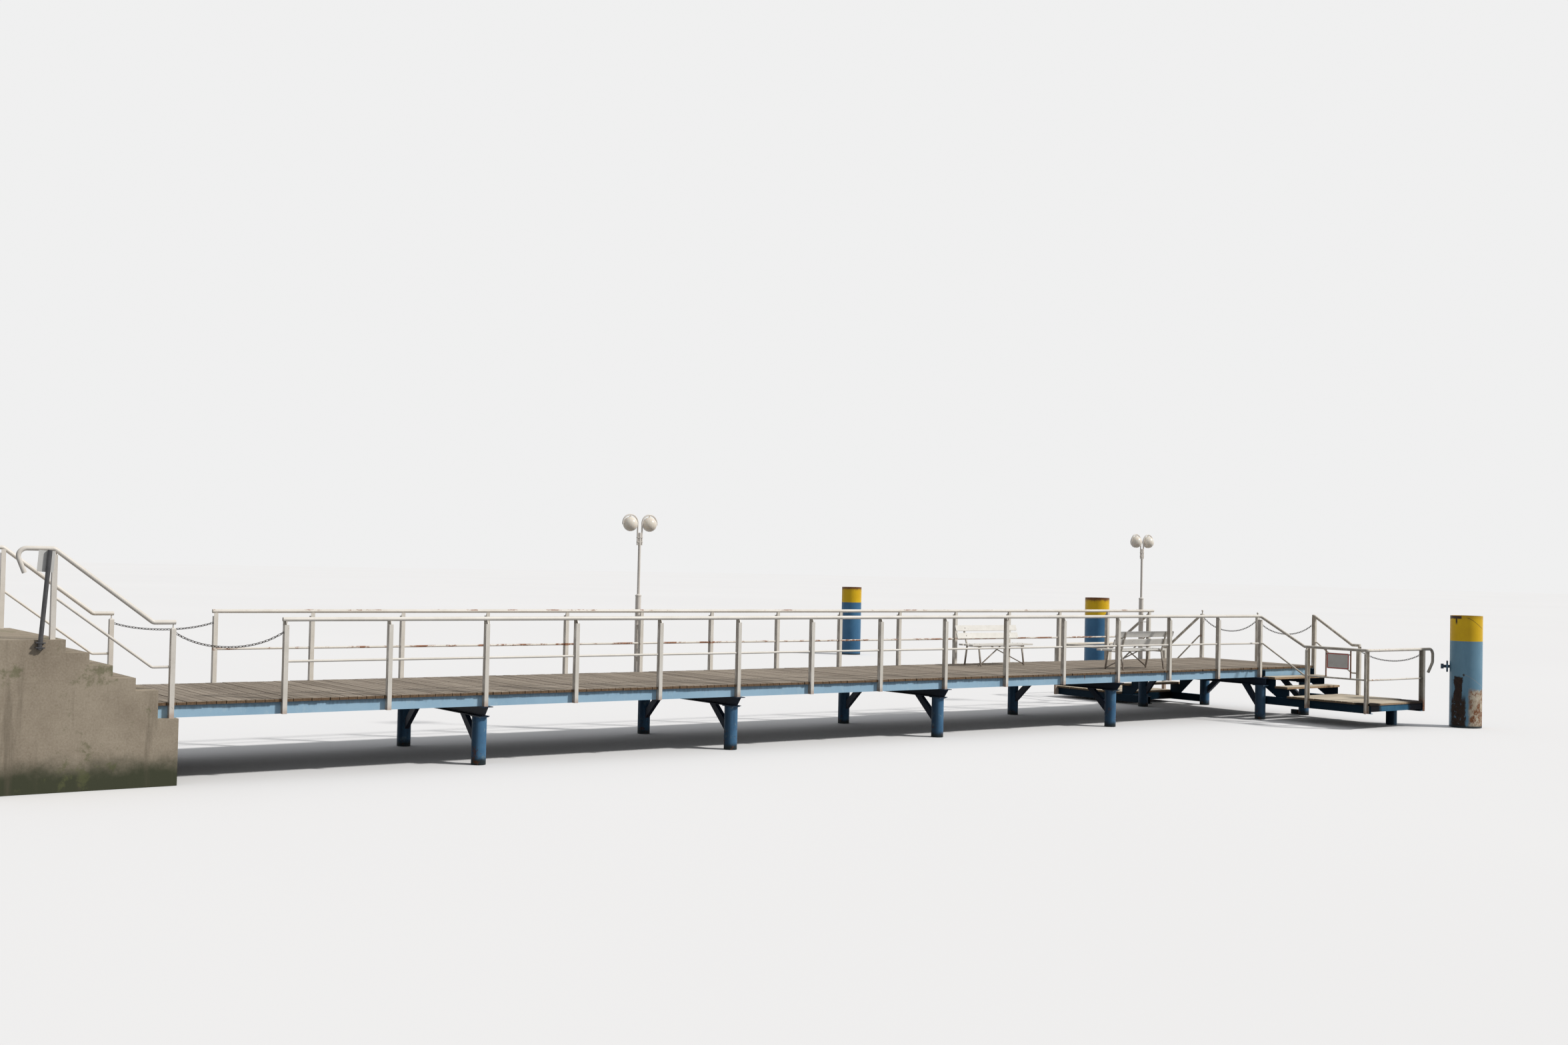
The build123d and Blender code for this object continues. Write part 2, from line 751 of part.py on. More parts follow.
    # Handrails down both sides of the stair, the left one on round the landing
    y_corner = side * outer_post
    knee = stair_knee(side, drop, rail_above)
    y_knee_right = side * (post_line + rises * going - rail_bend_radius)
    face = side * (post_line + post_depth / 2)
    off_face = side * (post_line + post_depth / 2 + rail_diameter / 2)
    front_start = stair_x + 2 * rail_corner_radius
    bend = rail_bend_radius
    with BuildPart() as side_rails:
        for post_y in (knee_post, left_corner):
            channel_post(stair_x, side * post_y, frame_foot, rail, side)
        upper = [near_corner + near_turn]
        radii = [bend, rail_corner_radius]
        if side > 0:
            upper = [(stair_x, face, stair_rail_level), (stair_x, off_face, stair_rail_level)]
            radii = [bend] + radii
        tube(
            upper + [knee, (stair_x, y_corner, rail), (front_start, y_corner, rail)],
            radii,
            rail_diameter,
        )
        tube(
            [
                (stair_x, face, mid_level),
                (stair_x, off_face, mid_level),
                (stair_x, knee.Y, mid),
                (stair_x, side * left_corner, mid),
            ],
            [bend, bend],
            mid_rail_diameter,
        )
        rail_post(head_x, side * right_knee_post, frame_foot, rail, (1, 0))
        upper = [(head_x, face, stair_rail_level), (head_x, off_face, stair_rail_level)]
        if side < 0:
            post(head_x, -post_line, beam_foot, tube_underside(rail_level))
            upper = [(head_x, -web_face, rail_level), (head_x, -post_line, rail_level)]
        rail_end = (head_x, side * (right_knee_post + rail_past_knee), rail)
        tube(upper + [(head_x, y_knee_right, rail), rail_end], [bend, bend], rail_diameter)
        tube(
            [
                (head_x, face, mid_level),
                (head_x, off_face, mid_level),
                (head_x, y_knee_right, mid),
                (head_x, side * right_knee_post, mid),
            ],
            [bend, bend],
            mid_rail_diameter,
        )
    save(side_rails, f"{label}_landing_side_rails")

    # Front rail of the landing, with a curl past its last post
    curl_x = head_x + curl_reach
    with BuildPart() as front_rail:
        with BuildSketch(Plane.XY.offset(frame_foot)) as shank:
            with Locations((head_x, side * right_corner)):
                Rectangle(corner_post_depth, channel_post_width)
            with Locations((head_x - channel_post_wall, side * right_corner)):
                hollow = channel_post_width - 2 * channel_post_wall
                Rectangle(corner_post_depth, hollow, mode=Mode.SUBTRACT)
        extrude(shank.sketch, amount=tube_underside(rail) - frame_foot)
        tube(
            [
                (front_start, y_corner, rail),
                (curl_x, y_corner, rail),
                (curl_x, y_corner, rail - curl_drop),
                (curl_x - curl_return, y_corner, rail - curl_drop - curl_tail),
            ],
            [curl_radius, curl_radius],
            rail_diameter,
        )
        mid_start = (stair_x + channel_post_width / 2, y_corner, mid)
        mid_end = (head_x + corner_post_depth / 2 - channel_post_wall / 2, y_corner, mid)
        straight_tube(mid_start, mid_end, mid_rail_diameter)
    save(front_rail, f"{label}_landing_front_rail")


stair_and_landing(
    "near", -1, near_drop, near_rise_count, near_going, near_reach, landing_rail_height
)
stair_and_landing(
    "far", 1, far_drop, far_rise_count, far_going, far_reach, far_landing_rail_height
)

# Landing sign: a blank panel in a light frame between the two rails
near_level = deck_height - near_drop
sign_top = near_level + landing_rail_height - rail_diameter / 2
sign_foot = near_level + landing_mid_rail_height + mid_rail_diameter / 2
with BuildPart() as landing_sign:
    with BuildSketch(Plane.YZ.offset(stair_x - sign_leg / 2)):
        for leg_y in (sign_start, sign_start + sign_width):
            with Locations((-post_line - leg_y, (sign_top + sign_foot) / 2)):
                Rectangle(sign_leg, sign_top - sign_foot)
        with Locations((-post_line - sign_start - sign_width / 2, sign_top - sign_drop)):
            Rectangle(sign_width, sign_leg)
    extrude(amount=sign_leg)
    with BuildSketch(Plane.YZ.offset(stair_x - sign_leg / 2 - sign_thickness)):
        sign_middle = sign_top - sign_drop - sign_height / 2 + sign_leg
        with Locations((-post_line - sign_start - sign_width / 2, sign_middle)):
            RectangleRounded(sign_width - 2 * sign_margin, sign_height, sign_corner)
    extrude(amount=sign_thickness)
save(landing_sign, "landing_sign")


def lamp(number, x):
    """A stepped mast clamped to a railing post, with two arched arms and two globes."""
    y = post_line + lamp_offset
    foot = beam_foot
    base_top = deck_height + lamp_base_top
    top = deck_height + lamp_top
    with BuildPart() as mast:
        with BuildSketch(Plane.XY.offset(foot)):
            with Locations((x, y)):
                RectangleRounded(lamp_foot_size, lamp_foot_size, lamp_foot_corner)
        extrude(amount=lamp_foot_thickness)
        with BuildSketch(Plane.XZ.offset(-y)):
            with BuildLine():
                Polyline(
                    (x, foot),
                    (x + lamp_base_diameter / 2, foot),
                    (x + lamp_base_diameter / 2, base_top - lamp_reducer),
                    (x + lamp_base_diameter / 2 + lamp_ring, base_top - lamp_reducer),
                    (x + lamp_base_diameter / 2 + lamp_ring, base_top - lamp_reducer / 2),
                    (x + lamp_shaft_diameter / 2, base_top),
                    (x + lamp_shaft_diameter / 2, top - lamp_cap_height),
                    (x + lamp_cap_diameter / 2, top - lamp_cap_height),
                    (x + lamp_cap_diameter / 2, top - lamp_cap_bevel),
                    (x + lamp_cap_diameter / 2 - lamp_cap_bevel, top),
                    (x, top),
                    close=True,
                )
            make_face()
        revolve(axis=Axis((x, y, 0), (0, 0, 1)))
        for bracket in lamp_bracket_levels:
            with BuildSketch(Plane.XY.offset(deck_height + bracket)):
                reach = lamp_offset - post_depth / 2
                with Locations((x + 1.0, post_line + post_depth / 2 + reach / 2)):
                    Rectangle(lamp_bracket_width, reach)
            extrude(amount=lamp_bracket_thickness)
        for clamp in lamp_clamp_levels:
            with BuildSketch(Plane.XY.offset(deck_height + clamp)):
                with Locations((x, y)):
                    arm_side = lamp_arm_spacing + lamp_arm_diameter / 2
                    SlotOverall(2 * (arm_side + lamp_clamp_edge), lamp_clamp_width)
            extrude(amount=lamp_clamp_height)
        for side in (-1, 1):
            near_x = x + side * lamp_arm_spacing
            arch = deck_height + lamp_arch_level
            far_x = near_x + side * 2 * lamp_arch_radius
            with BuildLine() as route:
                Line((near_x, y, deck_height + lamp_arm_foot), (near_x, y, arch))
                ThreePointArc(
                    (near_x, y, arch),
                    (near_x + side * lamp_arch_radius, y, arch + lamp_arch_radius),
                    (far_x, y, arch),
                )
                Line((far_x, y, arch), (far_x, y, arch - lamp_arch_tail))
            with BuildSketch(route.line ^ 0):
                Circle(lamp_arm_diameter / 2)
            sweep(path=route.line)
    save(mast, f"lamp_{number}_mast")
    with BuildPart() as globes:
        for side in (-1, 1):
            centre_x = x + side * (lamp_arm_spacing + lamp_arch_radius)
            arch_foot = deck_height + lamp_arch_level + lamp_arch_radius - lamp_arm_diameter / 2
            globe_top = arch_foot - globe_neck - globe_pin
            with Locations((centre_x, y, globe_top - globe_diameter / 2 + seat_gap)):
                Sphere(globe_diameter / 2)
            with BuildSketch(Plane.XY.offset(globe_top - globe_pin)):
                with Locations((centre_x, y)):
                    Circle(globe_collar / 2)
            extrude(amount=globe_neck + globe_pin)
            with BuildSketch(Plane.XY.offset(globe_top)):
                with Locations((centre_x, y)):
                    Circle(globe_pin / 2)
            extrude(amount=arch_foot - seat_gap - globe_top)
    save(globes, f"lamp_{number}_globes")


for number, x in enumerate(lamp_stations, start=1):
    lamp(number, x)


def flat_bar(a, b):
    """Draw one bar of a bench frame between two points, with rounded ends."""
    length = sqrt((b[0] - a[0]) ** 2 + (b[1] - a[1]) ** 2)
    with Locations(((a[0] + b[0]) / 2, (a[1] + b[1]) / 2)):
        turn = degrees(atan2(b[1] - a[1], b[0] - a[0]))
        SlotCenterToCenter(length, bench_bar, rotation=turn)


def square_bar(a, b, size):
    """Add a straight square bar from one point to another."""
    start = Vector(*a)
    run = Vector(*b) - start
    with BuildSketch(Plane(origin=start, x_dir=Vector(0, 0, 1).cross(run), z_dir=run)) as section:
        Rectangle(size, size)
    extrude(section.sketch, amount=run.length)


def bench(number, x, back_y, faces, lower=0.0):
    """A slatted bench on a light bar frame; faces is the way that the sitter looks along Y."""
    seat_back = back_y + faces * bench_back_lean
    seat_front = seat_back + faces * bench_seat_depth
    seat_under = deck_height + bench_seat_height - bench_slat_thickness - lower
    back_top = deck_height + bench_back_height - lower
    half_bar = bench_bar / 2
    low = deck_height + half_bar
    high = seat_under - half_bar
    middle_y = seat_back + faces * bench_seat_depth / 2
    with BuildPart() as frame:
        for end in (-1, 1):
            leg_x = x + end * bench_leg_spacing / 2
            with BuildSketch(Plane.YZ.offset(leg_x - half_bar)):
                flat_bar((seat_back - faces * bench_foot_spread, low), (seat_back, high))
                flat_bar((seat_front, low), (seat_front - faces * bench_foot_spread, high))
                flat_bar((seat_back, high), (seat_front - faces * half_bar, high))
                flat_bar((seat_back, high), (back_y, back_top - bench_bar))
            extrude(amount=bench_bar)
            square_bar(
                (leg_x, seat_front - faces * half_bar, low + half_bar),
                (x - end * bench_leg_spacing * 0.12, middle_y, high),
                bench_bar * 0.7,
            )
        square_bar(
            (x - bench_leg_spacing / 2, middle_y, high),
            (x + bench_leg_spacing / 2, middle_y, high),
            bench_bar * 0.98,
        )
    save(frame, f"bench_{number}_frame")
    with BuildPart() as slats:
        pitch = bench_slat_width + bench_slat_gap
        first = bench_bar * 0.7 + bench_slat_width / 2
        with BuildSketch(Plane.XY.offset(seat_under)):
            for row in range(3):
                with Locations((x, seat_back + faces * (first + row * pitch))):
                    RectangleRounded(bench_length, bench_slat_width, bench_slat_corner)
        extrude(amount=bench_slat_thickness)
        normal = Vector(0, faces * (back_top - bench_bar - high), bench_back_lean).normalized()
        up = Vector(0, -faces * bench_back_lean, back_top - bench_bar - high).normalized()
        back_face = Vector(x, back_y, back_top - bench_bar) + normal * half_bar
        for row in range(2):
            step = bench_slat_width + bench_back_gap
            middle = back_face + up * (half_bar - bench_slat_width / 2 - row * step)
            with BuildSketch(Plane(origin=middle, x_dir=(1, 0, 0), z_dir=normal)):
                RectangleRounded(bench_length, bench_slat_width, bench_slat_corner)
            extrude(amount=bench_back_thickness)
    save(slats, f"bench_{number}_slats")


bench(1, first_bench_x, first_bench_back, -1)
bench(2, second_bench_x, -second_bench_back, 1, second_bench_lower)

# Mooring dolphins: wide pipe piles with a plate let into the top, one with a side bollard
with BuildPart() as mooring_dolphins:
    with BuildSketch(Plane.XY):
        for place, diameter in zip(dolphin_places, dolphin_diameters):
            with Locations(place):
                Circle(diameter / 2)
    extrude(amount=dolphin_height)
    with BuildSketch(Plane.XY.offset(dolphin_height - dolphin_plate_depth)):
        for place, diameter in zip(dolphin_places, dolphin_diameters):
            with Locations(place):
                Circle(diameter / 2 - dolphin_wall)
    extrude(amount=dolphin_plate_depth, mode=Mode.SUBTRACT)
    bollard_way = Vector(-1, 0, 0).rotate(Axis.Z, -bollard_turn)
    bollard = Plane(origin=(*dolphin_places[0], bollard_level), x_dir=(0, 0, 1), z_dir=bollard_way)
    skin = dolphin_diameters[0] / 2
    for start, end, diameter in (
        (-bollard_root, bollard_reach, bollard_diameter * 0.6),
        (bollard_reach - bollard_knob, bollard_reach, bollard_diameter),
        (bollard_flange_gap, bollard_flange_gap + bollard_flange_thickness, bollard_flange),
    ):
        with BuildSketch(bollard.offset(skin + start)):
            Circle(diameter / 2)
        extrude(amount=end - start)
save(mooring_dolphins, "mooring_dolphins")


def hanging_points(start, end, sag, eye):
    """Points of a hanging chain, with a short level run out of the eye at each end."""
    a = Vector(*start)
    b = Vector(*end)
    along = (b - a).normalized()
    along = Vector(along.X, along.Y, 0).normalized()
    first = a + along * eye
    last = b - along * eye
    steepness = 1.6
    points = [a]
    for k in range(chain_points):
        t = k / (chain_points - 1)
        drop = 1 - (cosh(steepness * (2 * t - 1)) - 1) / (cosh(steepness) - 1)
        place = first + (last - first) * t
        points.append(Vector(place.X, place.Y, place.Z - sag * drop))
    points.append(b)
    return points


def corner_radii(points):
    """As large an arc at each corner as the two runs beside it allow."""
    radii = []
    for before, corner, after in zip(points, points[1:], points[2:]):
        turn = (corner - before).get_angle(after - corner)
        shorter = min((corner - before).length, (after - corner).length)
        radii.append(0.45 * shorter / tan(turn * 0.0174533 / 2))
    return radii


def chain(start, end, sag):
    """A chain across an opening, as a plain tube along the line that it hangs in."""
    points = hanging_points(start, end, sag, chain_eye)
    tube(points, corner_radii(points), chain_diameter)


deck_chain = deck_height + chain_height
post_side = post_width / 2
post_face = post_depth / 2
head_chain_x = (head_x + mid_post_x) / 2 + chain_eye / 6
with BuildPart() as shore_chains:
    for y, sag in ((-post_line, chain_sag), (post_line, chain_sag / 2)):
        start = (stations[0] + post_side, y, deck_chain)
        end = (stations[1] - post_side, y, deck_chain)
        chain(start, end, sag)
save(shore_chains, "shore_chains")

with BuildPart() as head_chains:
    for side in (-1, 1):
        start = (head_chain_x, side * post_side, deck_chain)
        end = (head_chain_x, side * (post_line - post_face), deck_chain)
        chain(start, end, head_chain_sag)
save(head_chains, "head_chains")

with BuildPart() as landing_chain:
    level = near_level + landing_chain_height
    start = (head_x, -post_line - right_knee_post_distance - post_face, level)
    corner_post_near = near_reach - landing_post_inset - channel_post_width * 3 / 10
    end = (head_x, -post_line - corner_post_near, level)
    chain(start, end, landing_chain_sag)
save(landing_chain, "landing_chain")
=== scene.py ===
"""Looks for the boarded jetty: boards, chains, sign, fasteners, paint, light and camera."""
import math
import random

import bmesh
import bpy
from mathutils import Matrix, Vector


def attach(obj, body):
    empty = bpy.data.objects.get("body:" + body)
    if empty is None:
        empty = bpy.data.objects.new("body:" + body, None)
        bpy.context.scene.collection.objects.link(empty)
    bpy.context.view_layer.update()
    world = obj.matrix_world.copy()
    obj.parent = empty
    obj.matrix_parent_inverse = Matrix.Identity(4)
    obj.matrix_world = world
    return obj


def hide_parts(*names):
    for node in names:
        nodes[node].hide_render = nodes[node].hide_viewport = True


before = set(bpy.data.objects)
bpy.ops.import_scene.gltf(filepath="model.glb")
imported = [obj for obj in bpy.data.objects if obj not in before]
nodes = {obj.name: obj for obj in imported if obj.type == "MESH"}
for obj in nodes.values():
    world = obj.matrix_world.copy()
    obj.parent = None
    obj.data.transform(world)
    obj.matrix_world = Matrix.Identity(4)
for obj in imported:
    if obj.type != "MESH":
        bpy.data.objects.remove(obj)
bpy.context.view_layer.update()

# Driving sizes, in metres, as the solids have them: posts and rails
POST_LINE = 1.49
POST_WIDTH = 0.06
POST_DEPTH = 0.08
CHANNEL_WIDTH = 0.1
CHANNEL_DEPTH = 0.05
CORNER_POST_DEPTH = 0.06
FIRST_POST = 1.24
BAY = 1.463
BAYS = 14
STAIR_BAY = 1.318
HEAD_LENGTH = 1.8
STATIONS = [FIRST_POST + BAY * k for k in range(BAYS + 1)]
STATIONS.append(STATIONS[-1] + STAIR_BAY)
STAIR_X = STATIONS[-1]
HEAD_X = STAIR_X + HEAD_LENGTH
DECK = 1.05
RAIL_Z = DECK + 1.05
MID_Z = DECK + 0.493
LANDING_RAIL = 1.022
LANDING_MID_RAIL = 0.447
RAIL_RADIUS = 0.029
MID_RAIL_RADIUS = 0.017

# Boards and beams
BOARD = 0.042
BOARD_WIDTH = 0.12
BOARD_SPLIT = 0.007
BOARD_EDGE = 1.5
RAGGED = 0.016
LANDING_RAGGED = 0.03
DECK_START = 1.05
DECK_END = HEAD_X + 0.03
NOTCH_GAP = 0.003
NOTCH_REACH = 0.2
BEAM_TOP = DECK - BOARD
BEAM_FOOT = BEAM_TOP - 0.16
WEB = POST_LINE - POST_DEPTH / 2
JOISTS = (-1.43, -0.483, 0.483, 1.43)
BEAM_RUST_RUN = (17.93, 17.955)

# Piles: each bent's place along the walkway, and its piles' distance from the centre line
PILE_RADIUS = 0.106
PILE_Y = 1.32
STAIR_PILE_Y = 1.56
PILE_SEAT_GAP = 0.0003
END_BENT_SETBACK = 0.09
CAP_Z = 0.684
CAP_THICKNESS = 0.012
BENTS = [(STATIONS[k], PILE_Y) for k in (3, 6, 9, 12)]
BENTS.append((STAIR_X + CHANNEL_WIDTH / 2 - PILE_RADIUS - PILE_SEAT_GAP, STAIR_PILE_Y))
BENTS.append((HEAD_X - END_BENT_SETBACK, PILE_Y))

# Landings: drop below the walkway, rises of the stair, going, and reach from the post line
NEAR_DROP, NEAR_RISES, NEAR_GOING, NEAR_REACH = 0.538, 3, 0.333, 2.58
FAR_DROP, FAR_RISES, FAR_GOING, FAR_REACH = 0.79, 4, 0.27, 2.83
LANDING_LEFT = STAIR_X
LANDING_RIGHT = HEAD_X + 0.02
LANDING_LIP = 0.01
CORNER_INSET = 0.06
CHANNEL_SETBACK = 0.01
KNEE_LEFT = 1.16
KNEE_RIGHT = 1.09
TREAD = 0.045
TREAD_NOSING = 0.022
TREAD_SPLIT = 0.006
TREAD_MARGIN = 0.03
FIRST_TREAD_GAP = 0.113

# The near landing's outer pile: its top, and the y beyond which it stands
LANDING_PILE_TOP = 0.34
LANDING_PILE_SIDE = -3.325

# Height of the rusty feet of the posts on the landings and on the shore
LANDING_POST_FOOT = 0.33
SHORE_POST_FOOT = 0.86

# Dolphins: x, y and radius of each
DOLPHINS = ((25.64, -4.49, 0.305), (28.25, 7.87, 0.3225), (29.25, 19.71, 0.3225))
DOLPHIN_TOP = 2.22
DOLPHIN_BAND = 1.717

# The way that the near dolphin's worn side faces
WORN_WAY = Vector((-30.66, -18.648)).normalized()

# Lamps, notice board, sign and chains
FIRST_LAMP_SHIFT = 0.025
SECOND_LAMP_SHIFT = 0.081
LAMPS = (STATIONS[6] + FIRST_LAMP_SHIFT, STAIR_X - SECOND_LAMP_SHIFT)
LAMP_OFFSET = 0.15
LAMP_PLATE = 0.014
GLOBE_Z = 3.46
NOTICE_BOARD_Y = -1.605
SIGN_START = 1.59
SIGN_WIDTH, SIGN_HEIGHT, SIGN_DROP = 0.56, 0.31, 0.078
SIGN_LEG, SIGN_MARGIN, SIGN_THICKNESS = 0.022, 0.03, 0.005
CHAIN_Z = DECK + 0.88
LANDING_CHAIN_Z = DECK - NEAR_DROP + 0.91
HEAD_CHAIN_X = HEAD_X + 0.026
NEAR_SHORE_SAG, FAR_SHORE_SAG, HEAD_SAG, LANDING_SAG = 0.19, 0.095, 0.25, 0.16
CHAIN_STEEP = 1.6
LINK_PITCH = 0.045
LINK_WIRE = 0.0048

# Benches: x of the middle, y of the back, the way that it faces, and how much lower it stands
BENCHES = ((17.858, 1.19, -1, 0.0), (19.85, -1.26, 1, 0.028))
BENCH_LEG_X = 0.58
SEAT_HEIGHT = 0.425
BACK_HEIGHT = 0.78
BACK_LEAN = 0.12
BENCH_BAR = 0.026
SLAT_WIDTH = 0.112
SEAT_SLAT, SEAT_SLAT_GAP = 0.032, 0.032
BACK_SLAT, BACK_SLAT_GAP = 0.024, 0.044

# Fasteners: radius and height of a head, and how far they stand apart
SCREW_RADIUS, SCREW_HEIGHT = 0.0055, 0.004
SCREW_SPREAD = 0.033
SCREW_LEVEL = DECK - 0.0035
POST_CLEARANCE = 0.045
SLAT_BOLT_RADIUS, SLAT_BOLT_HEIGHT = 0.009, 0.004
BOLT_RADIUS = 0.011
CAP_BOLT_HEIGHT, CAP_BOLT_SPREAD, CAP_BOLT_OUT = 0.009, 0.05, 0.115
PLATE_BOLT_HEIGHT, PLATE_BOLT_SPREAD = 0.012, 0.068

# Camera: place, turn and lens solved from the posts, rails and deck edges in the photograph
CAMERA_PLACE = (-5.02, -23.138, 3.006)
CAMERA_YAW, CAMERA_PITCH, CAMERA_ROLL = 0.6329, 0.0237, 0.0215
CAMERA_LENS = 38.04


def make_camera():
    level = Vector((math.cos(CAMERA_YAW), -math.sin(CAMERA_YAW), 0))
    forward = Vector((math.sin(CAMERA_YAW), math.cos(CAMERA_YAW), 0)) * math.cos(CAMERA_PITCH)
    forward.z = math.sin(CAMERA_PITCH)
    upright = level.cross(forward)
    right = level * math.cos(CAMERA_ROLL) + upright * math.sin(CAMERA_ROLL)
    up = upright * math.cos(CAMERA_ROLL) - level * math.sin(CAMERA_ROLL)
    data = bpy.data.cameras.new("Camera")
    data.sensor_width = 36
    data.lens = CAMERA_LENS
    data.clip_start = 0.1
    data.clip_end = 400
    cam = bpy.data.objects.new("Camera", data)
    turn = Matrix((right, up, -forward)).transposed().to_4x4()
    turn.translation = Vector(CAMERA_PLACE)
    cam.matrix_world = turn
    bpy.context.scene.collection.objects.link(cam)
    bpy.context.scene.camera = cam


make_camera()


# Materials
RUST = (0.25, 0.08, 0.022)
ORANGE_RUST = (0.46, 0.17, 0.05)
DARK_RUST = (0.075, 0.03, 0.015)
# Grey-brown for the painted shade on rail faces turned from the sun
SHADE_BROWN = (0.27, 0.23, 0.185)
SLUDGE = (0.02, 0.03, 0.035)
ROT = (0.016, 0.012, 0.01)


def shade(colour, amount):
    return tuple(amount * c for c in colour)


class Paint:
    """A node material that is built up, coat over coat, around one Principled shader."""

    def __init__(self, name, roughness=0.5, specular=0.5):
        self.mat = bpy.data.materials.new(name)
        self.mat.use_nodes = True
        self.nt = self.mat.node_tree
        self.bsdf = self.nt.nodes["Principled BSDF"]
        self.bsdf.inputs["Roughness"].default_value = roughness
        self.bsdf.inputs["Specular IOR Level"].default_value = specular
        self.coords = self.nt.nodes.new("ShaderNodeTexCoord").outputs["Object"]
        self.tone = None

    def put(self, socket, value):
        if isinstance(value, bpy.types.NodeSocket):
            self.nt.links.new(value, socket)
        elif socket.type == "RGBA":
            socket.default_value = (*value, 1)
        else:
            socket.default_value = value

    def noise(self, scale, detail, rough, stretch=(1, 1, 1), distortion=0.0):
        place = self.nt.nodes.new("ShaderNodeMapping")
        self.nt.links.new(self.coords, place.inputs["Vector"])
        place.inputs["Scale"].default_value = stretch
        n = self.nt.nodes.new("ShaderNodeTexNoise")
        self.nt.links.new(place.outputs["Vector"], n.inputs["Vector"])
        n.inputs["Scale"].default_value = scale
        n.inputs["Detail"].default_value = detail
        n.inputs["Roughness"].default_value = rough
        n.inputs["Distortion"].default_value = distortion
        return n.outputs["Fac"]

    def ramp(self, fac, *stops):
        n = self.nt.nodes.new("ShaderNodeValToRGB")
        self.nt.links.new(fac, n.inputs["Fac"])
        elements = n.color_ramp.elements
        while len(elements) < len(stops):
            elements.new(0.5)
        for element, (at, colour) in zip(elements, stops):
            element.position = at
            element.color = (*colour, 1)
        return n.outputs["Color"]

    def step(self, value, low, high):
        """A smooth step from 0 at low to 1 at high; low may be the larger one."""
        n = self.nt.nodes.new("ShaderNodeMapRange")
        n.interpolation_type = "SMOOTHSTEP"
        self.put(n.inputs["Value"], value)
        n.inputs["From Min"].default_value = min(low, high)
        n.inputs["From Max"].default_value = max(low, high)
        n.inputs["To Min"].default_value = 0.0 if low < high else 1.0
        n.inputs["To Max"].default_value = 1.0 if low < high else 0.0
        return n.outputs["Result"]

    def mix(self, mask, under, over):
        n = self.nt.nodes.new("ShaderNodeMix")
        n.data_type = "RGBA"
        self.put(n.inputs[0], mask)
        self.put(n.inputs[6], under)
        self.put(n.inputs[7], over)
        return n.outputs[2]

    def math(self, op, a, b=0.0):
        n = self.nt.nodes.new("ShaderNodeMath")
        n.operation = op
        self.put(n.inputs[0], a)
        self.put(n.inputs[1], b)
        return n.outputs[0]

    def all(self, *masks):
        """The product of several masks."""
        out = masks[0]
        for mask in masks[1:]:
            out = self.math("MULTIPLY", out, mask)
        return out

    def any(self, *masks):
        """The largest of several masks."""
        out = masks[0]
        for mask in masks[1:]:
            out = self.math("MAXIMUM", out, mask)
        return out

    def wobble(self, value, scale, size, detail=4):
        """A value shifted to and fro by noise, for ragged edges."""
        shift = self.math("SUBTRACT", self.noise(scale, detail, 0.65), 0.5)
        return self.math("ADD", value, self.math("MULTIPLY", shift, 2 * size))

    def band(self, value, low, high, soft):
        """1 between two values, with soft edges."""
        return self.all(self.step(value, low - soft, low + soft), self.step(value, high + soft, high - soft))

    def parts(self, vector):
        n = self.nt.nodes.new("ShaderNodeSeparateXYZ")
        self.nt.links.new(vector, n.inputs[0])
        return n.outputs[0], n.outputs[1], n.outputs[2]

    def xyz(self):
        return self.parts(self.coords)

    def normal(self):
        return self.parts(self.nt.nodes.new("ShaderNodeNewGeometry").outputs["Normal"])

    def attribute(self, name):
        n = self.nt.nodes.new("ShaderNodeAttribute")
        n.attribute_name = name
        return n.outputs["Fac"]

    def rust(self, scale):
        return self.ramp(self.noise(scale, 4, 0.65), (0.32, DARK_RUST), (0.5, RUST), (0.72, ORANGE_RUST))

    def over(self, mask, colour):
        """Lay a colour over the present one where the mask is 1."""
        self.tone = self.mix(mask, self.tone, colour)

    def bump(self, height, strength, distance):
        n = self.nt.nodes.new("ShaderNodeBump")
        n.inputs["Strength"].default_value = strength
        n.inputs["Distance"].default_value = distance
        self.nt.links.new(height, n.inputs["Height"])
        self.nt.links.new(n.outputs["Normal"], self.bsdf.inputs["Normal"])

    def dull_where(self, mask, base, more):
        """Roughness that rises from base by more where the mask is 1."""
        self.put(self.bsdf.inputs["Roughness"], self.math("ADD", self.math("MULTIPLY", mask, more), base))

    def done(self):
        self.put(self.bsdf.inputs["Base Color"], self.tone)
        return self.mat


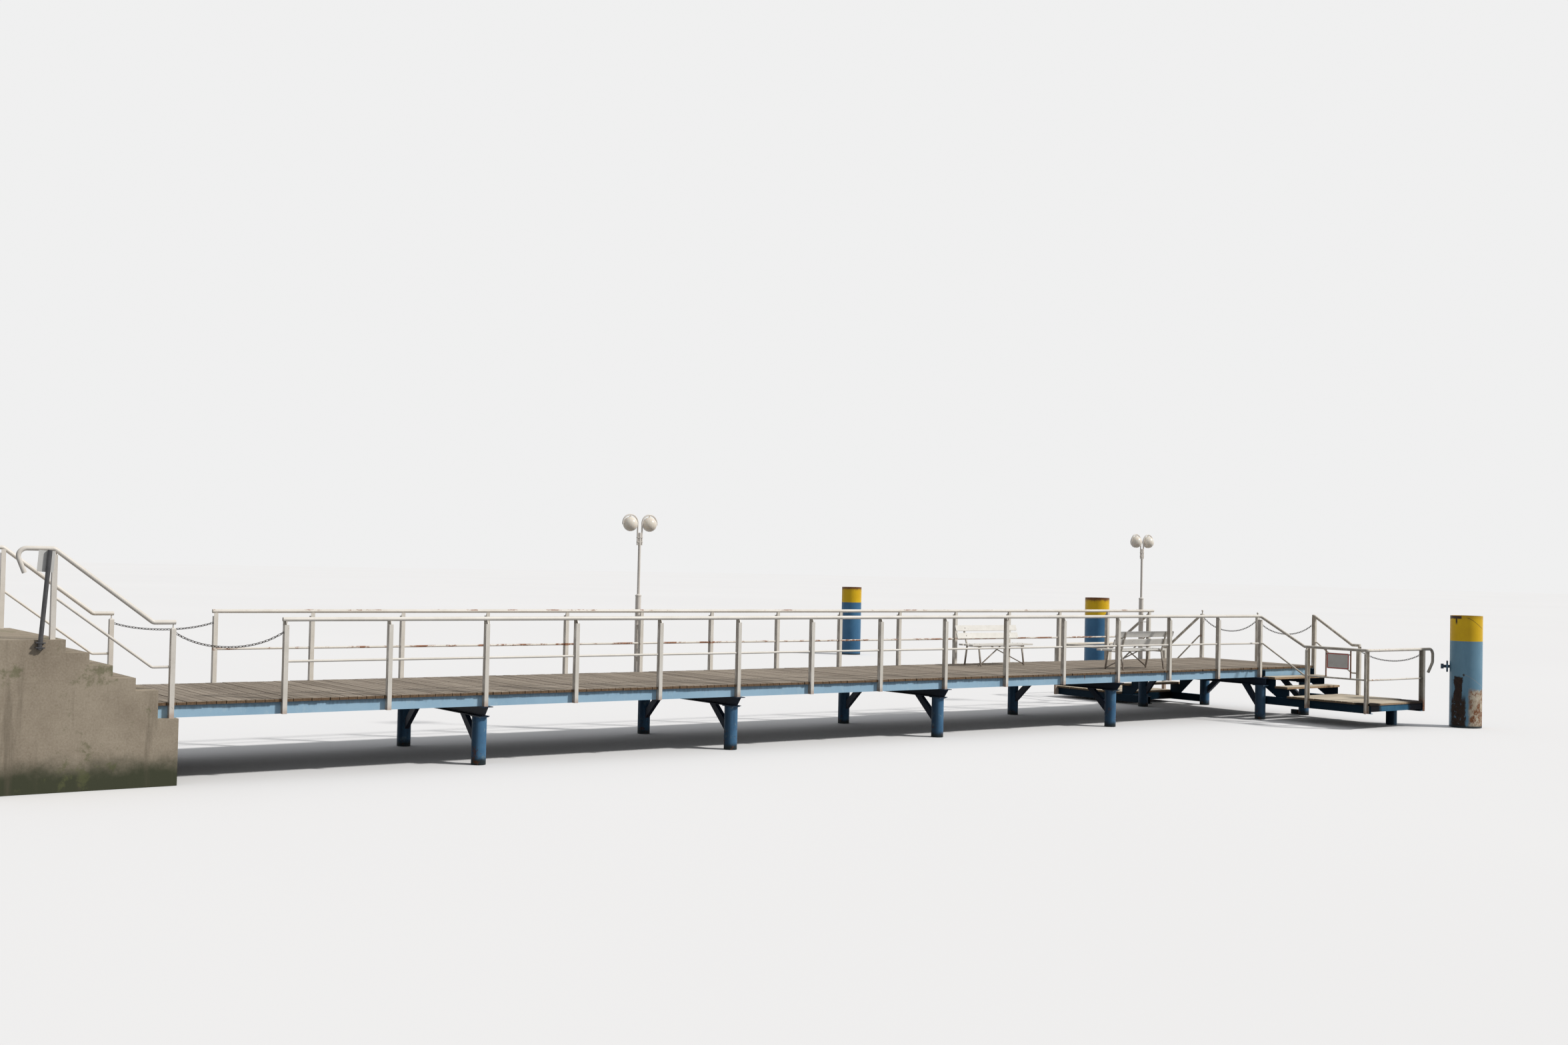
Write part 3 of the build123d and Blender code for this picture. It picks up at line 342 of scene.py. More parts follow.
def rail_paint(name, base, dull, foot_z, patches=0.0):
    """Old white gloss paint on steel: painted shade on the side away from the sun, chips and rust."""
    p = Paint(name, roughness=0.42)
    _, y, z = p.xyz()
    nx = p.normal()[0]
    p.tone = p.ramp(p.noise(2.2, 5, 0.65), (0.32, dull), (0.6, base))
    streak = p.noise(15, 4, 0.6, stretch=(1, 1, 0.15))
    # Painted shade: rail and post faces turned from the sun (-X) get a streaky grey-brown.
    painted_shade = p.all(p.step(nx, -0.6, -0.95), p.step(p.wobble(streak, 6, 0.2), 0.25, 0.6), 0.8)
    p.over(painted_shade, p.ramp(streak, (0.3, shade(SHADE_BROWN, 0.6)), (0.7, SHADE_BROWN)))
    fine = p.noise(26, 4, 0.7)
    p.over(p.all(p.step(fine, 0.55, 0.8), 0.6), shade(dull, 0.8))
    chips = p.noise(21, 6, 0.72, distortion=0.6)
    where = p.noise(1.3, 3, 0.5)
    bare = p.all(p.step(chips, 0.655, 0.71), p.step(where, 0.42, 0.6))
    if patches:
        far = p.step(y, 1.0, 1.2)
        blotches = p.noise(5, 6, 0.75, stretch=(0.5, 1, 1))
        far_mid = p.all(p.band(z, MID_Z - 0.02, MID_Z + 0.02, 0.004), far, p.step(blotches, 0.5, 0.57))
        far_top = p.all(p.step(z, RAIL_Z + 0.002, RAIL_Z + 0.012), far, p.step(blotches, 0.56, 0.62), 0.8)
        bare = p.any(bare, p.all(p.any(far_mid, far_top), patches))
    foot = p.step(p.wobble(z, 9, 0.05), foot_z + 0.1, foot_z)
    bare = p.any(bare, p.all(foot, 0.4))
    p.over(bare, p.rust(60))
    p.dull_where(bare, 0.4, 0.4)
    p.bump(p.math("ADD", p.math("MULTIPLY", bare, -0.6), p.math("MULTIPLY", fine, 0.25)), 0.25, 0.002)
    return p.done()


def rusty_rail():
    """Front rail of the near landing: its left end and its post's foot have lost their paint; faces turned
    from the sun carry painted shade, and the right end a painted shadow of the near dolphin.
    """
    p = Paint("railing_paint_front", roughness=0.45)
    x, _, z = p.xyz()
    nx = p.normal()[0]
    p.tone = p.ramp(p.noise(2.4, 5, 0.65), (0.32, (0.62, 0.58, 0.51)), (0.6, (0.76, 0.725, 0.67)))
    # Painted shade on the faces turned from the sun (-X).
    p.over(p.all(p.step(nx, -0.6, -0.95), 0.8), (0.2, 0.165, 0.12))
    # Painted shadow: the near dolphin's shadow on the right end of the rail and its curl, painted grey.
    right = p.step(p.wobble(x, 7, 0.05), HEAD_X - 0.06, HEAD_X - 0.02)
    grey = p.ramp(p.noise(7, 5, 0.6), (0.3, (0.24, 0.225, 0.19)), (0.7, (0.36, 0.34, 0.3)))
    p.over(p.all(right, 0.8), grey)
    left = p.step(p.wobble(x, 4, 0.5), STAIR_X + 0.75, STAIR_X + 0.15)
    blotch = p.step(p.noise(12, 6, 0.75, stretch=(0.6, 1, 1)), 0.5, 0.58)
    foot = p.step(p.wobble(z, 8, 0.08), 0.62, 0.42)
    flecks = p.step(p.noise(24, 6, 0.72), 0.6, 0.66)
    bare = p.any(p.all(left, blotch), p.all(foot, 0.8), p.all(flecks, 0.9))
    p.over(bare, p.rust(55))
    p.dull_where(bare, 0.42, 0.4)
    p.bump(p.math("MULTIPLY", bare, -0.6), 0.25, 0.002)
    return p.done()


def landing_paint():
    """Faded blue beams and stringers, their -Y faces nearly black at both ends (at the right end a painted
    shadow of the near dolphin), painted shade on faces turned from the sun or downwards, and a blue pile
    painted lighter on its sun side.
    """
    p = Paint("landing_paint", roughness=0.55, specular=0.06)
    x, y, z = p.xyz()
    nx, ny, nz = p.normal()
    blue, deep = (0.065, 0.19, 0.31), (0.03, 0.1, 0.18)
    p.tone = p.ramp(p.noise(1.6, 5, 0.6), (0.3, deep), (0.68, blue))
    run = p.noise(9, 4, 0.6, stretch=(1, 1, 0.12))
    p.over(p.all(p.step(run, 0.5, 0.75), 0.5), deep)
    # The -Y faces go nearly black at both ends: at the right end this is a painted shadow of the near
    # dolphin, at the left end it is only darker.
    left = p.step(p.wobble(x, 5, 0.2), LANDING_LEFT + 0.45, LANDING_LEFT + 0.3)
    right = p.step(p.wobble(x, 5, 0.25), LANDING_RIGHT - 0.62, LANDING_RIGHT - 0.42)
    p.over(p.all(p.any(left, right), p.step(ny, -0.5, -0.9)), (0.006, 0.007, 0.01))
    # Painted shade: faces turned from the sun (-X) or downwards are darkened almost to black.
    away = p.any(p.step(nx, -0.3, -0.8), p.step(nz, -0.5, -0.9))
    p.over(p.all(away, 0.94), shade(deep, 0.12))
    # Painted light: the outer pile below the landing gets a paler blue on the side facing the sun, where the
    # landing above shades it.
    low = p.step(z, LANDING_PILE_TOP + 0.005, LANDING_PILE_TOP - 0.005)
    outer = p.step(y, LANDING_PILE_SIDE + 0.025, LANDING_PILE_SIDE - 0.025)
    lit = p.step(nx, -0.7, -0.1)
    p.over(p.all(low, outer, lit), p.ramp(run, (0.35, (0.1, 0.2, 0.31)), (0.65, (0.22, 0.37, 0.5))))
    chips = p.noise(30, 5, 0.7, distortion=0.4)
    bare = p.step(chips, 0.685, 0.73)
    p.over(bare, DARK_RUST)
    p.dull_where(bare, 0.5, 0.35)
    p.bump(chips, 0.15, 0.002)
    return p.done()


def beam_paint():
    """Sky-blue edge beams: a toothed band of painted shade under the boards, one rust run, chalky clouds and
    flecks.
    """
    p = Paint("beam_paint", roughness=0.6, specular=0.3)
    x, _, z = p.xyz()
    p.tone = p.ramp(p.noise(0.9, 5, 0.6), (0.3, (0.28, 0.46, 0.62)), (0.7, (0.38, 0.58, 0.75)))
    cloud = p.noise(14, 5, 0.7, stretch=(1, 1, 0.5))
    p.over(p.all(p.step(cloud, 0.52, 0.72), 0.5), (0.46, 0.62, 0.72))
    # Painted shade: a dark band with a toothed lower edge along the top of the beam, under the overhanging
    # boards.
    drip = p.math("MULTIPLY", p.noise(26, 3, 0.55, stretch=(1, 1, 0.03)), 0.14)
    p.over(p.all(p.step(p.math("ADD", z, drip), BEAM_TOP, BEAM_TOP + 0.06), 0.4), (0.09, 0.13, 0.18))
    run = p.band(p.wobble(x, 30, 0.012), *BEAM_RUST_RUN, 0.012)
    run = p.all(run, p.step(p.wobble(z, 20, 0.02), 0.9, 0.98))
    flecks = p.all(p.step(p.noise(30, 6, 0.75), 0.68, 0.72), p.step(p.noise(0.7, 2, 0.5), 0.5, 0.6))
    p.over(p.all(p.any(run, flecks), 0.85), RUST)
    p.bump(cloud, 0.12, 0.002)
    return p.done()


def pile_paint(name, pile_y, deep, blue):
    """Pipe piles in blue; painted shade makes the headstock and braces on them near black and darkens the
    side turned from the sun; the waterline is slimy.
    """
    p = Paint(name, roughness=0.5, specular=0.15)
    _, y, z = p.xyz()
    nx = p.normal()[0]
    p.tone = p.ramp(p.noise(2.6, 6, 0.65), (0.3, deep), (0.68, blue))
    run = p.noise(11, 5, 0.65, stretch=(1, 1, 0.1))
    p.over(p.all(p.step(run, 0.5, 0.72), 0.6), (0.04, 0.09, 0.16))
    p.over(p.all(p.step(p.noise(7, 6, 0.7), 0.58, 0.64), 0.6), (0.2, 0.29, 0.34))
    # Painted shade: the braces between the piles and the headstock above the caps are near black, as under
    # the deck.
    inner = p.step(p.math("ABSOLUTE", y), pile_y - PILE_RADIUS, pile_y - PILE_RADIUS - 0.004)
    cap_top = CAP_Z + CAP_THICKNESS
    headstock = p.step(z, cap_top, cap_top + 0.004)
    black = p.ramp(p.noise(5, 4, 0.6), (0.3, (0.008, 0.013, 0.026)), (0.7, (0.022, 0.038, 0.07)))
    p.over(p.any(inner, headstock), black)
    cap = p.all(p.band(z, CAP_Z, cap_top, 0.002), p.math("SUBTRACT", 1.0, inner))
    p.over(p.all(cap, 0.8), (0.16, 0.25, 0.32))
    # Painted shade on the side of the piles turned from the sun (-X).
    p.over(p.all(p.step(nx, -0.35, -0.95), 0.6), (0.012, 0.02, 0.035))
    p.over(p.step(p.wobble(z, 6, 0.07, 5), 0.13, 0.03), SLUDGE)
    chips = p.noise(30, 5, 0.7, distortion=0.4)
    low = p.all(p.step(p.wobble(z, 4, 0.2), 0.5, 0.1), p.step(p.noise(9, 6, 0.72), 0.56, 0.62))
    bare = p.any(p.step(chips, 0.68, 0.72), p.all(low, 0.8))
    p.over(bare, p.ramp(p.noise(50, 3, 0.6), (0.3, DARK_RUST), (0.7, (0.16, 0.065, 0.03))))
    p.dull_where(bare, 0.48, 0.35)
    p.bump(chips, 0.2, 0.003)
    return p.done()


def deck_wood(name, light, dark, brown, ends, stretch, rotten=()):
    """Bare weathered boards: grain along the board, a tone for each board, browner ends, and painted shade on
    faces turned from the sun.
    """
    p = Paint(name, roughness=0.85, specular=0.1)
    x, y, _ = p.xyz()
    nx, _, nz = p.normal()
    p.tone = p.ramp(p.attribute("tone"), (0.0, dark), (0.35, brown), (1.0, light))
    grain = p.noise(60, 6, 0.7, stretch=stretch, distortion=0.3)
    p.over(0.5, p.ramp(grain, (0.3, shade(dark, 0.6)), (0.68, light)))
    p.over(p.all(p.step(p.noise(0.9, 5, 0.65), 0.48, 0.72), 0.45), dark)
    upright = p.step(p.math("ABSOLUTE", nz), 0.6, 0.3)
    p.over(upright, p.ramp(p.noise(38, 5, 0.7), (0.3, shade(ends, 0.45)), (0.7, ends)))
    # Painted shade on faces turned from the sun (-X).
    p.over(p.step(nx, -0.5, -0.9), shade(ends, 0.3))
    for cx, cy, reach in rotten:
        dx = p.math("SUBTRACT", x, cx)
        dy = p.math("SUBTRACT", y, cy)
        away = p.math("SQRT", p.math("ADD", p.math("MULTIPLY", dx, dx), p.math("MULTIPLY", dy, dy)))
        p.over(p.step(p.wobble(away, 6, 0.16, 6), reach, reach * 0.62), ROT)
    p.bump(grain, 0.5, 0.002)
    return p.done()


def concrete_paint():
    """Cast concrete: stains that run down, moss, and a damp foot."""
    p = Paint("concrete_cast", roughness=0.9, specular=0.2)
    p.tone = p.ramp(p.noise(1.4, 6, 0.65), (0.3, (0.25, 0.2, 0.145)), (0.7, (0.44, 0.375, 0.29)))
    fine = p.noise(40, 6, 0.7)
    p.over(0.35, p.ramp(fine, (0.3, (0.2, 0.17, 0.13)), (0.7, (0.5, 0.45, 0.38))))
    z = p.xyz()[2]
    p.over(p.step(p.wobble(z, 3, 0.2, 6), 0.5, 0.15), (0.06, 0.065, 0.04))
    run = p.noise(5, 4, 0.6, stretch=(1, 1, 0.1))
    p.over(p.all(p.step(run, 0.52, 0.75), 0.6), (0.13, 0.11, 0.08))
    p.over(p.all(p.step(p.noise(2.2, 6, 0.7), 0.56, 0.66), 0.6), (0.12, 0.13, 0.06))
    p.bump(fine, 0.4, 0.004)
    return p.done()


class DolphinPaint(Paint):
    """Blue wide pipes with a yellow top band; the near one has lost paint in two large patches.

    Marks on the near one are placed by their height, by how far they face the worn side, and by
    how far they lie to the right on it, counted in radii.
    """

    def __init__(self):
        super().__init__("dolphin_paint", roughness=0.5, specular=0.25)
        cx, cy, radius = DOLPHINS[0]
        x, y, self.z = self.xyz()
        dx = self.math("SUBTRACT", x, cx)
        dy = self.math("SUBTRACT", y, cy)
        self.facing = self.along(dx, dy, WORN_WAY.x, WORN_WAY.y)
        self.across = self.math("DIVIDE", self.along(dx, dy, -WORN_WAY.y, WORN_WAY.x), radius)
        self.near = self.all(self.step(x, cx - 1.0, cx - 0.9), self.step(y, cy + 1.0, cy + 0.9))
        self.others = self.step(self.math("ABSOLUTE", dy), 1.0, 1.1)
        self.front = self.all(self.step(self.facing, -0.02, 0.04), self.near)
        self.ragged = self.wobble(self.across, 7, 0.2, 7)
        self.level = self.wobble(self.z, 5, 0.12, 7)

    def along(self, dx, dy, way_x, way_y):
        return self.math("ADD", self.math("MULTIPLY", dx, way_x), self.math("MULTIPLY", dy, way_y))

    def coat(self):
        self.tone = self.ramp(self.noise(1.1, 5, 0.6), (0.3, (0.12, 0.25, 0.36)), (0.7, (0.18, 0.335, 0.45)))
        run = self.noise(4, 5, 0.65, stretch=(1, 1, 0.15))
        self.over(self.all(self.step(run, 0.5, 0.7), 0.4), (0.09, 0.19, 0.29))
        deep = self.ramp(self.noise(1.4, 5, 0.6), (0.3, (0.035, 0.125, 0.25)), (0.7, (0.07, 0.2, 0.36)))
        self.over(self.others, deep)
        yellow = self.ramp(self.noise(2.5, 5, 0.6), (0.3, (0.7, 0.42, 0.008)), (0.7, (0.82, 0.53, 0.012)))
        edge = self.wobble(self.z, 7, 0.006)
        self.over(self.step(edge, DOLPHIN_BAND - 0.005, DOLPHIN_BAND + 0.005), yellow)

    def dark_patch(self):
        """Dark bare steel on the left of the worn side, with one small spot beside it."""
        top = self.band(self.ragged, -0.72, -0.22, 0.04)
        low = self.all(self.band(self.ragged, -0.88, 0.0, 0.06), self.step(self.level, 0.72, 0.5))
        holes = self.all(self.step(self.noise(13, 6, 0.7), 0.6, 0.66), self.step(self.z, 0.6, 0.4))
        whole = self.math("SUBTRACT", 1.0, holes)
        patch = self.all(self.any(top, low), self.step(self.level, 1.03, 0.99), self.front, whole)
        clouds = self.noise(16, 6, 0.7)
        brown = self.ramp(clouds, (0.35, (0.012, 0.008, 0.007)), (0.6, (0.035, 0.02, 0.013)))
        self.over(patch, brown)
        right = self.math("ABSOLUTE", self.math("MULTIPLY", self.math("ADD", self.across, 0.12), 0.3))
        up = self.math("ABSOLUTE", self.math("SUBTRACT", self.z, 1.05))
        spot = self.wobble(self.math("ADD", right, up), 16, 0.03, 6)
        self.over(self.all(self.step(spot, 0.03, 0.02), self.front), brown)
        return patch

    def pale_patch(self):
        """Pale primer with rust on it, low on the right and round the side."""
        wrap = self.all(self.step(self.wobble(self.facing, 6, 0.14, 6), -0.2, -0.12), self.near)
        patch = self.all(self.step(self.ragged, 0.1, 0.34), self.step(self.level, 0.79, 0.67), wrap)
        primer = self.ramp(self.noise(9, 6, 0.7), (0.35, (0.42, 0.36, 0.27)), (0.65, (0.62, 0.56, 0.45)))
        self.over(patch, primer)
        red = self.all(patch, self.step(self.noise(5.5, 7, 0.78, stretch=(1, 1, 0.8)), 0.43, 0.55))
        rust = self.ramp(self.noise(24, 5, 0.7), (0.3, (0.13, 0.05, 0.022)), (0.7, (0.27, 0.115, 0.05)))
        self.over(red, rust)
        return red

    def rim_marks(self):
        """A dark stretch of rim on the near one, with one drip below it."""
        left = self.band(self.wobble(self.across, 9, 0.05), -1.1, -0.3, 0.05)
        rim = self.all(left, self.step(self.wobble(self.z, 12, 0.02), 2.15, 2.17), self.front)
        narrow = self.band(self.wobble(self.across, 14, 0.03), -0.66, -0.56, 0.03)
        drip = self.all(narrow, self.step(self.z, 2.02, 2.1), self.front)
        self.over(self.any(rim, drip), (0.02, 0.014, 0.01))

    def scrape(self, start, end, colour):
        """A thin mark that falls in a curve from one place, across and z, to another."""
        (a0, z0), (a1, z1) = start, end
        t = self.math("DIVIDE", self.math("SUBTRACT", self.across, a0), a1 - a0)
        fall = self.math("MULTIPLY", self.math("POWER", self.math("ABSOLUTE", t), 1.5), z1 - z0)
        off = self.math("ABSOLUTE", self.math("SUBTRACT", self.z, self.math("ADD", fall, z0)))
        line = self.all(self.step(off, 0.009, 0.004), self.band(t, 0.0, 1.0, 0.06), self.front, 0.8)
        self.over(line, colour)

    def rust_and_slime(self, scuffs):
        """Bare rust on the other two, rusty rims and plates, and a dark waterline."""
        low = self.all(self.step(self.wobble(self.z, 3, 0.3), 1.1, 0.4), 0.1)
        bare = self.all(self.step(self.math("ADD", scuffs, low), 0.71, 0.76), self.others)
        rust = self.ramp(self.noise(30, 5, 0.7), (0.3, (0.05, 0.022, 0.012)), (0.7, (0.2, 0.08, 0.03)))
        self.over(bare, rust)
        hanging = self.math("MULTIPLY", self.noise(16, 6, 0.75, stretch=(1, 1, 0.12)), 0.3)
        drips = self.step(self.math("ADD", self.z, hanging), 2.22, 2.4)
        self.over(self.all(drips, self.others, 0.8), (0.2, 0.08, 0.018))
        rim = self.step(self.wobble(self.z, 12, 0.05, 6), 2.13, 2.19)
        self.over(self.all(rim, self.any(self.others, 0.25)), (0.17, 0.07, 0.022))
        self.over(self.step(self.z, 0.06, 0.02), SLUDGE)
        sunk = self.step(self.z, DOLPHIN_TOP - 0.001, DOLPHIN_TOP - 0.012)
        self.over(self.all(self.step(self.normal()[2], 0.5, 0.9), sunk), rust)
        return bare

    def bollard(self):
        """Dark blue side bollard on the near one."""
        beyond = self.all(self.step(self.facing, 0.3, -0.05), self.step(self.across, -1.0, -1.04))
        self.over(self.all(beyond, self.near), (0.012, 0.018, 0.05))


def dolphin_paint():
    p = DolphinPaint()
    p.coat()
    dark = p.dark_patch()
    red = p.pale_patch()
    p.rim_marks()
    p.scrape((0.05, 2.18), (0.92, 1.98), (0.12, 0.06, 0.012))
    p.scrape((-0.08, 1.05), (0.95, 0.83), (0.28, 0.33, 0.36))
    scuffs = p.noise(3.2, 7, 0.72, distortion=0.8)
    bare = p.any(dark, red, p.rust_and_slime(scuffs))
    p.bollard()
    p.dull_where(bare, 0.42, 0.35)
    p.bump(p.math("ADD", p.math("MULTIPLY", scuffs, 0.3), p.math("MULTIPLY", bare, -0.5)), 0.3, 0.006)
    return p.done()


def plain_paint(name, base, dull, roughness, scale, specks=0.0, shade_side=0.0):
    """One colour with soft clouds; specks are chips, and painted shade lies on the side away from the sun."""
    p = Paint(name, roughness=roughness)
    p.tone = p.ramp(p.noise(scale, 5, 0.6), (0.3, dull), (0.65, base))
    if specks:
        p.over(p.step(p.noise(34, 5, 0.7), 0.7 - specks, 0.74 - specks), DARK_RUST)
    if shade_side:
        nx = p.normal()[0]
        # Painted shade: faces turned from the sun (-X) are darkened towards a third of the base colour.
        p.over(p.all(p.step(nx, -0.3, -0.9), shade_side), shade(base, 0.35))
    p.bump(p.noise(80, 3, 0.6), 0.08, 0.001)
    return p.done()


def globe_glass():
    """Opal glass: cream, with painted shade on the lower half, and a soft gloss."""
    p = Paint("opal_globe", roughness=0.22)
    z = p.xyz()[2]
    p.tone = p.ramp(p.noise(3, 3, 0.5), (0.3, (0.8, 0.74, 0.65)), (0.7, (0.86, 0.81, 0.73)))
    # Painted shade on the lower half of the globe.
    p.over(p.all(p.step(z, GLOBE_Z + 0.04, GLOBE_Z - 0.04), 0.35), (0.55, 0.47, 0.36))
    p.bsdf.inputs["Subsurface Weight"].default_value = 0.35
    p.bsdf.inputs["Subsurface Radius"].default_value = (0.06, 0.05, 0.04)
    return p.done()


def notice_paint():
    """Dark pole and clamps; the board behind the pole is white and blank."""
    p = Paint("notice_metal", roughness=0.5)
    y = p.xyz()[1]
    p.tone = p.ramp(p.noise(8, 5, 0.6), (0.3, (0.035, 0.035, 0.04)), (0.65, (0.075, 0.075, 0.08)))
    board = p.ramp(p.noise(5, 4, 0.6), (0.3, (0.56, 0.56, 0.55)), (0.7, (0.64, 0.64, 0.63)))
    p.over(p.step(y, NOTICE_BOARD_Y - 0.001, NOTICE_BOARD_Y + 0.001), board)
    return p.done()


def bench_legs():
    """Light grey paint with rust flecks, dark brown towards the boards."""
    p = Paint("bench_frame", roughness=0.5)
    z = p.xyz()[2]
    p.tone = p.ramp(p.noise(9, 5, 0.6), (0.3, (0.3, 0.27, 0.23)), (0.65, (0.52, 0.49, 0.44)))
    # Darker brown towards the bottom of the legs.
    low = p.step(p.wobble(z, 12, 0.06, 5), DECK + 0.3, DECK + 0.08)
    p.over(p.all(low, 0.75), (0.1, 0.065, 0.045))
    p.over(p.step(p.noise(30, 5, 0.7), 0.6, 0.66), DARK_RUST)
    return p.done()


RAIL_PAINT = rail_paint(
    "railing_paint", base=(0.76, 0.73, 0.68), dull=(0.66, 0.625, 0.565), foot_z=BEAM_FOOT, patches=0.9
)
STAIR_RAIL_PAINT = rail_paint(
    "railing_paint_stairs", base=(0.74, 0.7, 0.63), dull=(0.6, 0.555, 0.48), foot_z=LANDING_POST_FOOT
)
SHORE_RAIL_PAINT = rail_paint(
    "railing_paint_shore", base=(0.75, 0.715, 0.665), dull=(0.64, 0.6, 0.545), foot_z=SHORE_POST_FOOT
)
FRONT_RAIL_PAINT = rusty_rail()
BEAM_PAINT = beam_paint()
PILE_PAINT = pile_paint("pile_paint", PILE_Y, deep=(0.045, 0.125, 0.24), blue=(0.085, 0.2, 0.335))
# A darker copy of the pile paint: painted shade for the bent that stands under the stair.
STAIR_PILE_PAINT = pile_paint(
    "pile_paint_stairs", STAIR_PILE_Y, deep=(0.03, 0.07, 0.13), blue=(0.055, 0.125, 0.21)
)
LANDING_PAINT = landing_paint()
DECK_WOOD = deck_wood(
    "deck_wood",
    light=(0.42, 0.365, 0.305),
    dark=(0.165, 0.138, 0.112),
    brown=(0.305, 0.262, 0.218),
    ends=(0.22, 0.145, 0.09),
    stretch=(1, 0.05, 1),
)
LANDING_FRONT = -POST_LINE - NEAR_REACH - LANDING_LIP
LANDING_WOOD = deck_wood(
    "landing_wood",
    light=(0.74, 0.67, 0.55),
    dark=(0.4, 0.335, 0.255),
    brown=(0.6, 0.53, 0.425),
    ends=(0.5, 0.36, 0.235),
    stretch=(0.05, 1, 1),
    rotten=((LANDING_RIGHT, LANDING_FRONT, 0.72), (LANDING_LEFT, LANDING_FRONT, 0.42)),
)
# Near-black joists: painted shade for the timbers under the deck.
JOIST_WOOD = plain_paint("joist_wood", (0.06, 0.05, 0.04), (0.03, 0.025, 0.02), 0.85, 5)
CONCRETE = concrete_paint()
DOLPHIN = dolphin_paint()
# Lamp masts: painted shade on the side away from the sun.
LAMP_PAINT = plain_paint("lamp_paint", (0.73, 0.695, 0.66), (0.66, 0.625, 0.58), 0.35, 3, shade_side=0.25)
GLOBE = globe_glass()
CHAIN_STEEL = plain_paint("chain_steel", (0.05, 0.04, 0.036), (0.022, 0.018, 0.016), 0.6, 60)
# Bench slats: painted shade on the side away from the sun.
BENCH_SLATS = plain_paint(
    "bench_slats", (0.78, 0.77, 0.74), (0.68, 0.665, 0.63), 0.5, 6, specks=0.02, shade_side=0.3
)
BENCH_FRAME = bench_legs()
NOTICE = notice_paint()
SIGN_WHITE = plain_paint("sign_white", (0.62, 0.6, 0.57), (0.53, 0.5, 0.46), 0.4, 7, specks=0.03)
SIGN_RED = plain_paint("sign_red", (0.5, 0.035, 0.02), (0.36, 0.03, 0.02), 0.4, 12)
SIGN_LEGS = plain_paint("sign_legs", (0.24, 0.1, 0.05), (0.1, 0.045, 0.025), 0.7, 18)
SCREW_STEEL = plain_paint("screw_steel", (0.13, 0.1, 0.08), (0.07, 0.05, 0.04), 0.6, 40)
GALVANISED = plain_paint("fitting_steel", (0.3, 0.3, 0.29), (0.16, 0.13, 0.11), 0.5, 25, specks=0.05)

# Finishes of the solids, by name and then by the way that a name starts or ends
FINISHES = {
    "railing_near": RAIL_PAINT,
    "railing_far": RAIL_PAINT,
    "head_posts": RAIL_PAINT,
    "shore_handrail_near": SHORE_RAIL_PAINT,
    "shore_handrail_far": SHORE_RAIL_PAINT,
    "near_landing_side_rails": STAIR_RAIL_PAINT,
    "far_landing_side_rails": STAIR_RAIL_PAINT,
    "far_landing_front_rail": STAIR_RAIL_PAINT,
    "near_landing_front_rail": FRONT_RAIL_PAINT,
    "pile_bent_5": STAIR_PILE_PAINT,
    "edge_beams": BEAM_PAINT,
    "end_beam": BEAM_PAINT,
    "shore_steps": CONCRETE,
    "inner_joists": JOIST_WOOD,
    "mooring_dolphins": DOLPHIN,
    "notice_post": NOTICE,
}


def dress(name, material):
    """Give a carried-over solid its finish."""
    slots = nodes[name].data.materials
    slots.clear()
    slots.append(material)


for name in nodes:
    if name in FINISHES:
        dress(name, FINISHES[name])
    elif name.startswith("pile_bent"):
        dress(name, PILE_PAINT)
    elif name.endswith("landing_frame") or name.endswith("stringers"):
        dress(name, LANDING_PAINT)
    elif name.endswith("_mast"):
        dress(name, LAMP_PAINT)
    elif name.endswith("_globes"):
        dress(name, GLOBE)
    elif name.endswith("slats"):
        dress(name, BENCH_SLATS)
    elif name.startswith("bench"):
        dress(name, BENCH_FRAME)


def piece(name, bm, materials, slot, *replaced):
    """Turn a bmesh into a piece that rides on the jetty."""
    data = bpy.data.meshes.new(name)
    bmesh.ops.recalc_face_normals(bm, faces=bm.faces)
    bm.to_mesh(data)
    bm.free()
    for material in materials:
        data.materials.append(material)
    obj = bpy.data.objects.new(name, data)
    bpy.context.scene.collection.objects.link(obj)
    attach(obj, "root")
    if replaced:
        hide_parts(*replaced)


# Boards
def board_mesh():
    bm = bmesh.new()
    bm.verts.layers.float.new("tone")
    return bm


def board_pitch(start, end):
    """How many boards fit between two places, and their spacing."""
    count = max(1, round((end - start) / (BOARD_WIDTH + BOARD_SPLIT)))
    return count, (end - start) / count


def slab(bm, outline, z0, z1, tone, bevel=0.003):
    """A board with a tone: a flat outline between two levels, with eased top edges."""
    before = len(bm.verts)
    low = [bm.verts.new((x, y, z0)) for x, y in outline]
    high = [bm.verts.new((x, y, z1)) for x, y in outline]
    n = len(outline)
    bm.faces.new(list(reversed(low)))
    top = bm.faces.new(high)
    for i in range(n):
        bm.faces.new((low[i], low[(i + 1) % n], high[(i + 1) % n], high[i]))
    bmesh.ops.bevel(bm, geom=list(top.edges), offset=bevel, segments=1, affect="EDGES")
    bm.verts.ensure_lookup_table()
    tone_layer = bm.verts.layers.float["tone"]
    for v in bm.verts[before:]:
        v[tone_layer] = tone


def board_end(u0, u1, v, inward, notches):
    """One end of a board from u0 to u1 at v, stepped in round any post; inward is +1 or -1."""
    for nu, nv, half_u, half_v in notches:
        inner = nv + inward * half_v
        beside = nu - half_u >= u1 or nu + half_u <= u0
        if abs(nv - v) > NOTCH_REACH or beside or (inner - v) * inward <= 0:
            continue
        a, b = max(u0, nu - half_u), min(u1, nu + half_u)
        line = []
        if a > u0 + 1e-4:
            line += [(u0, v), (a, v)]
        line += [(a, inner), (b, inner)]
        if b < u1 - 1e-4:
            line += [(b, v), (u1, v)]
        return line
    return [(u0, v), (u1, v)]


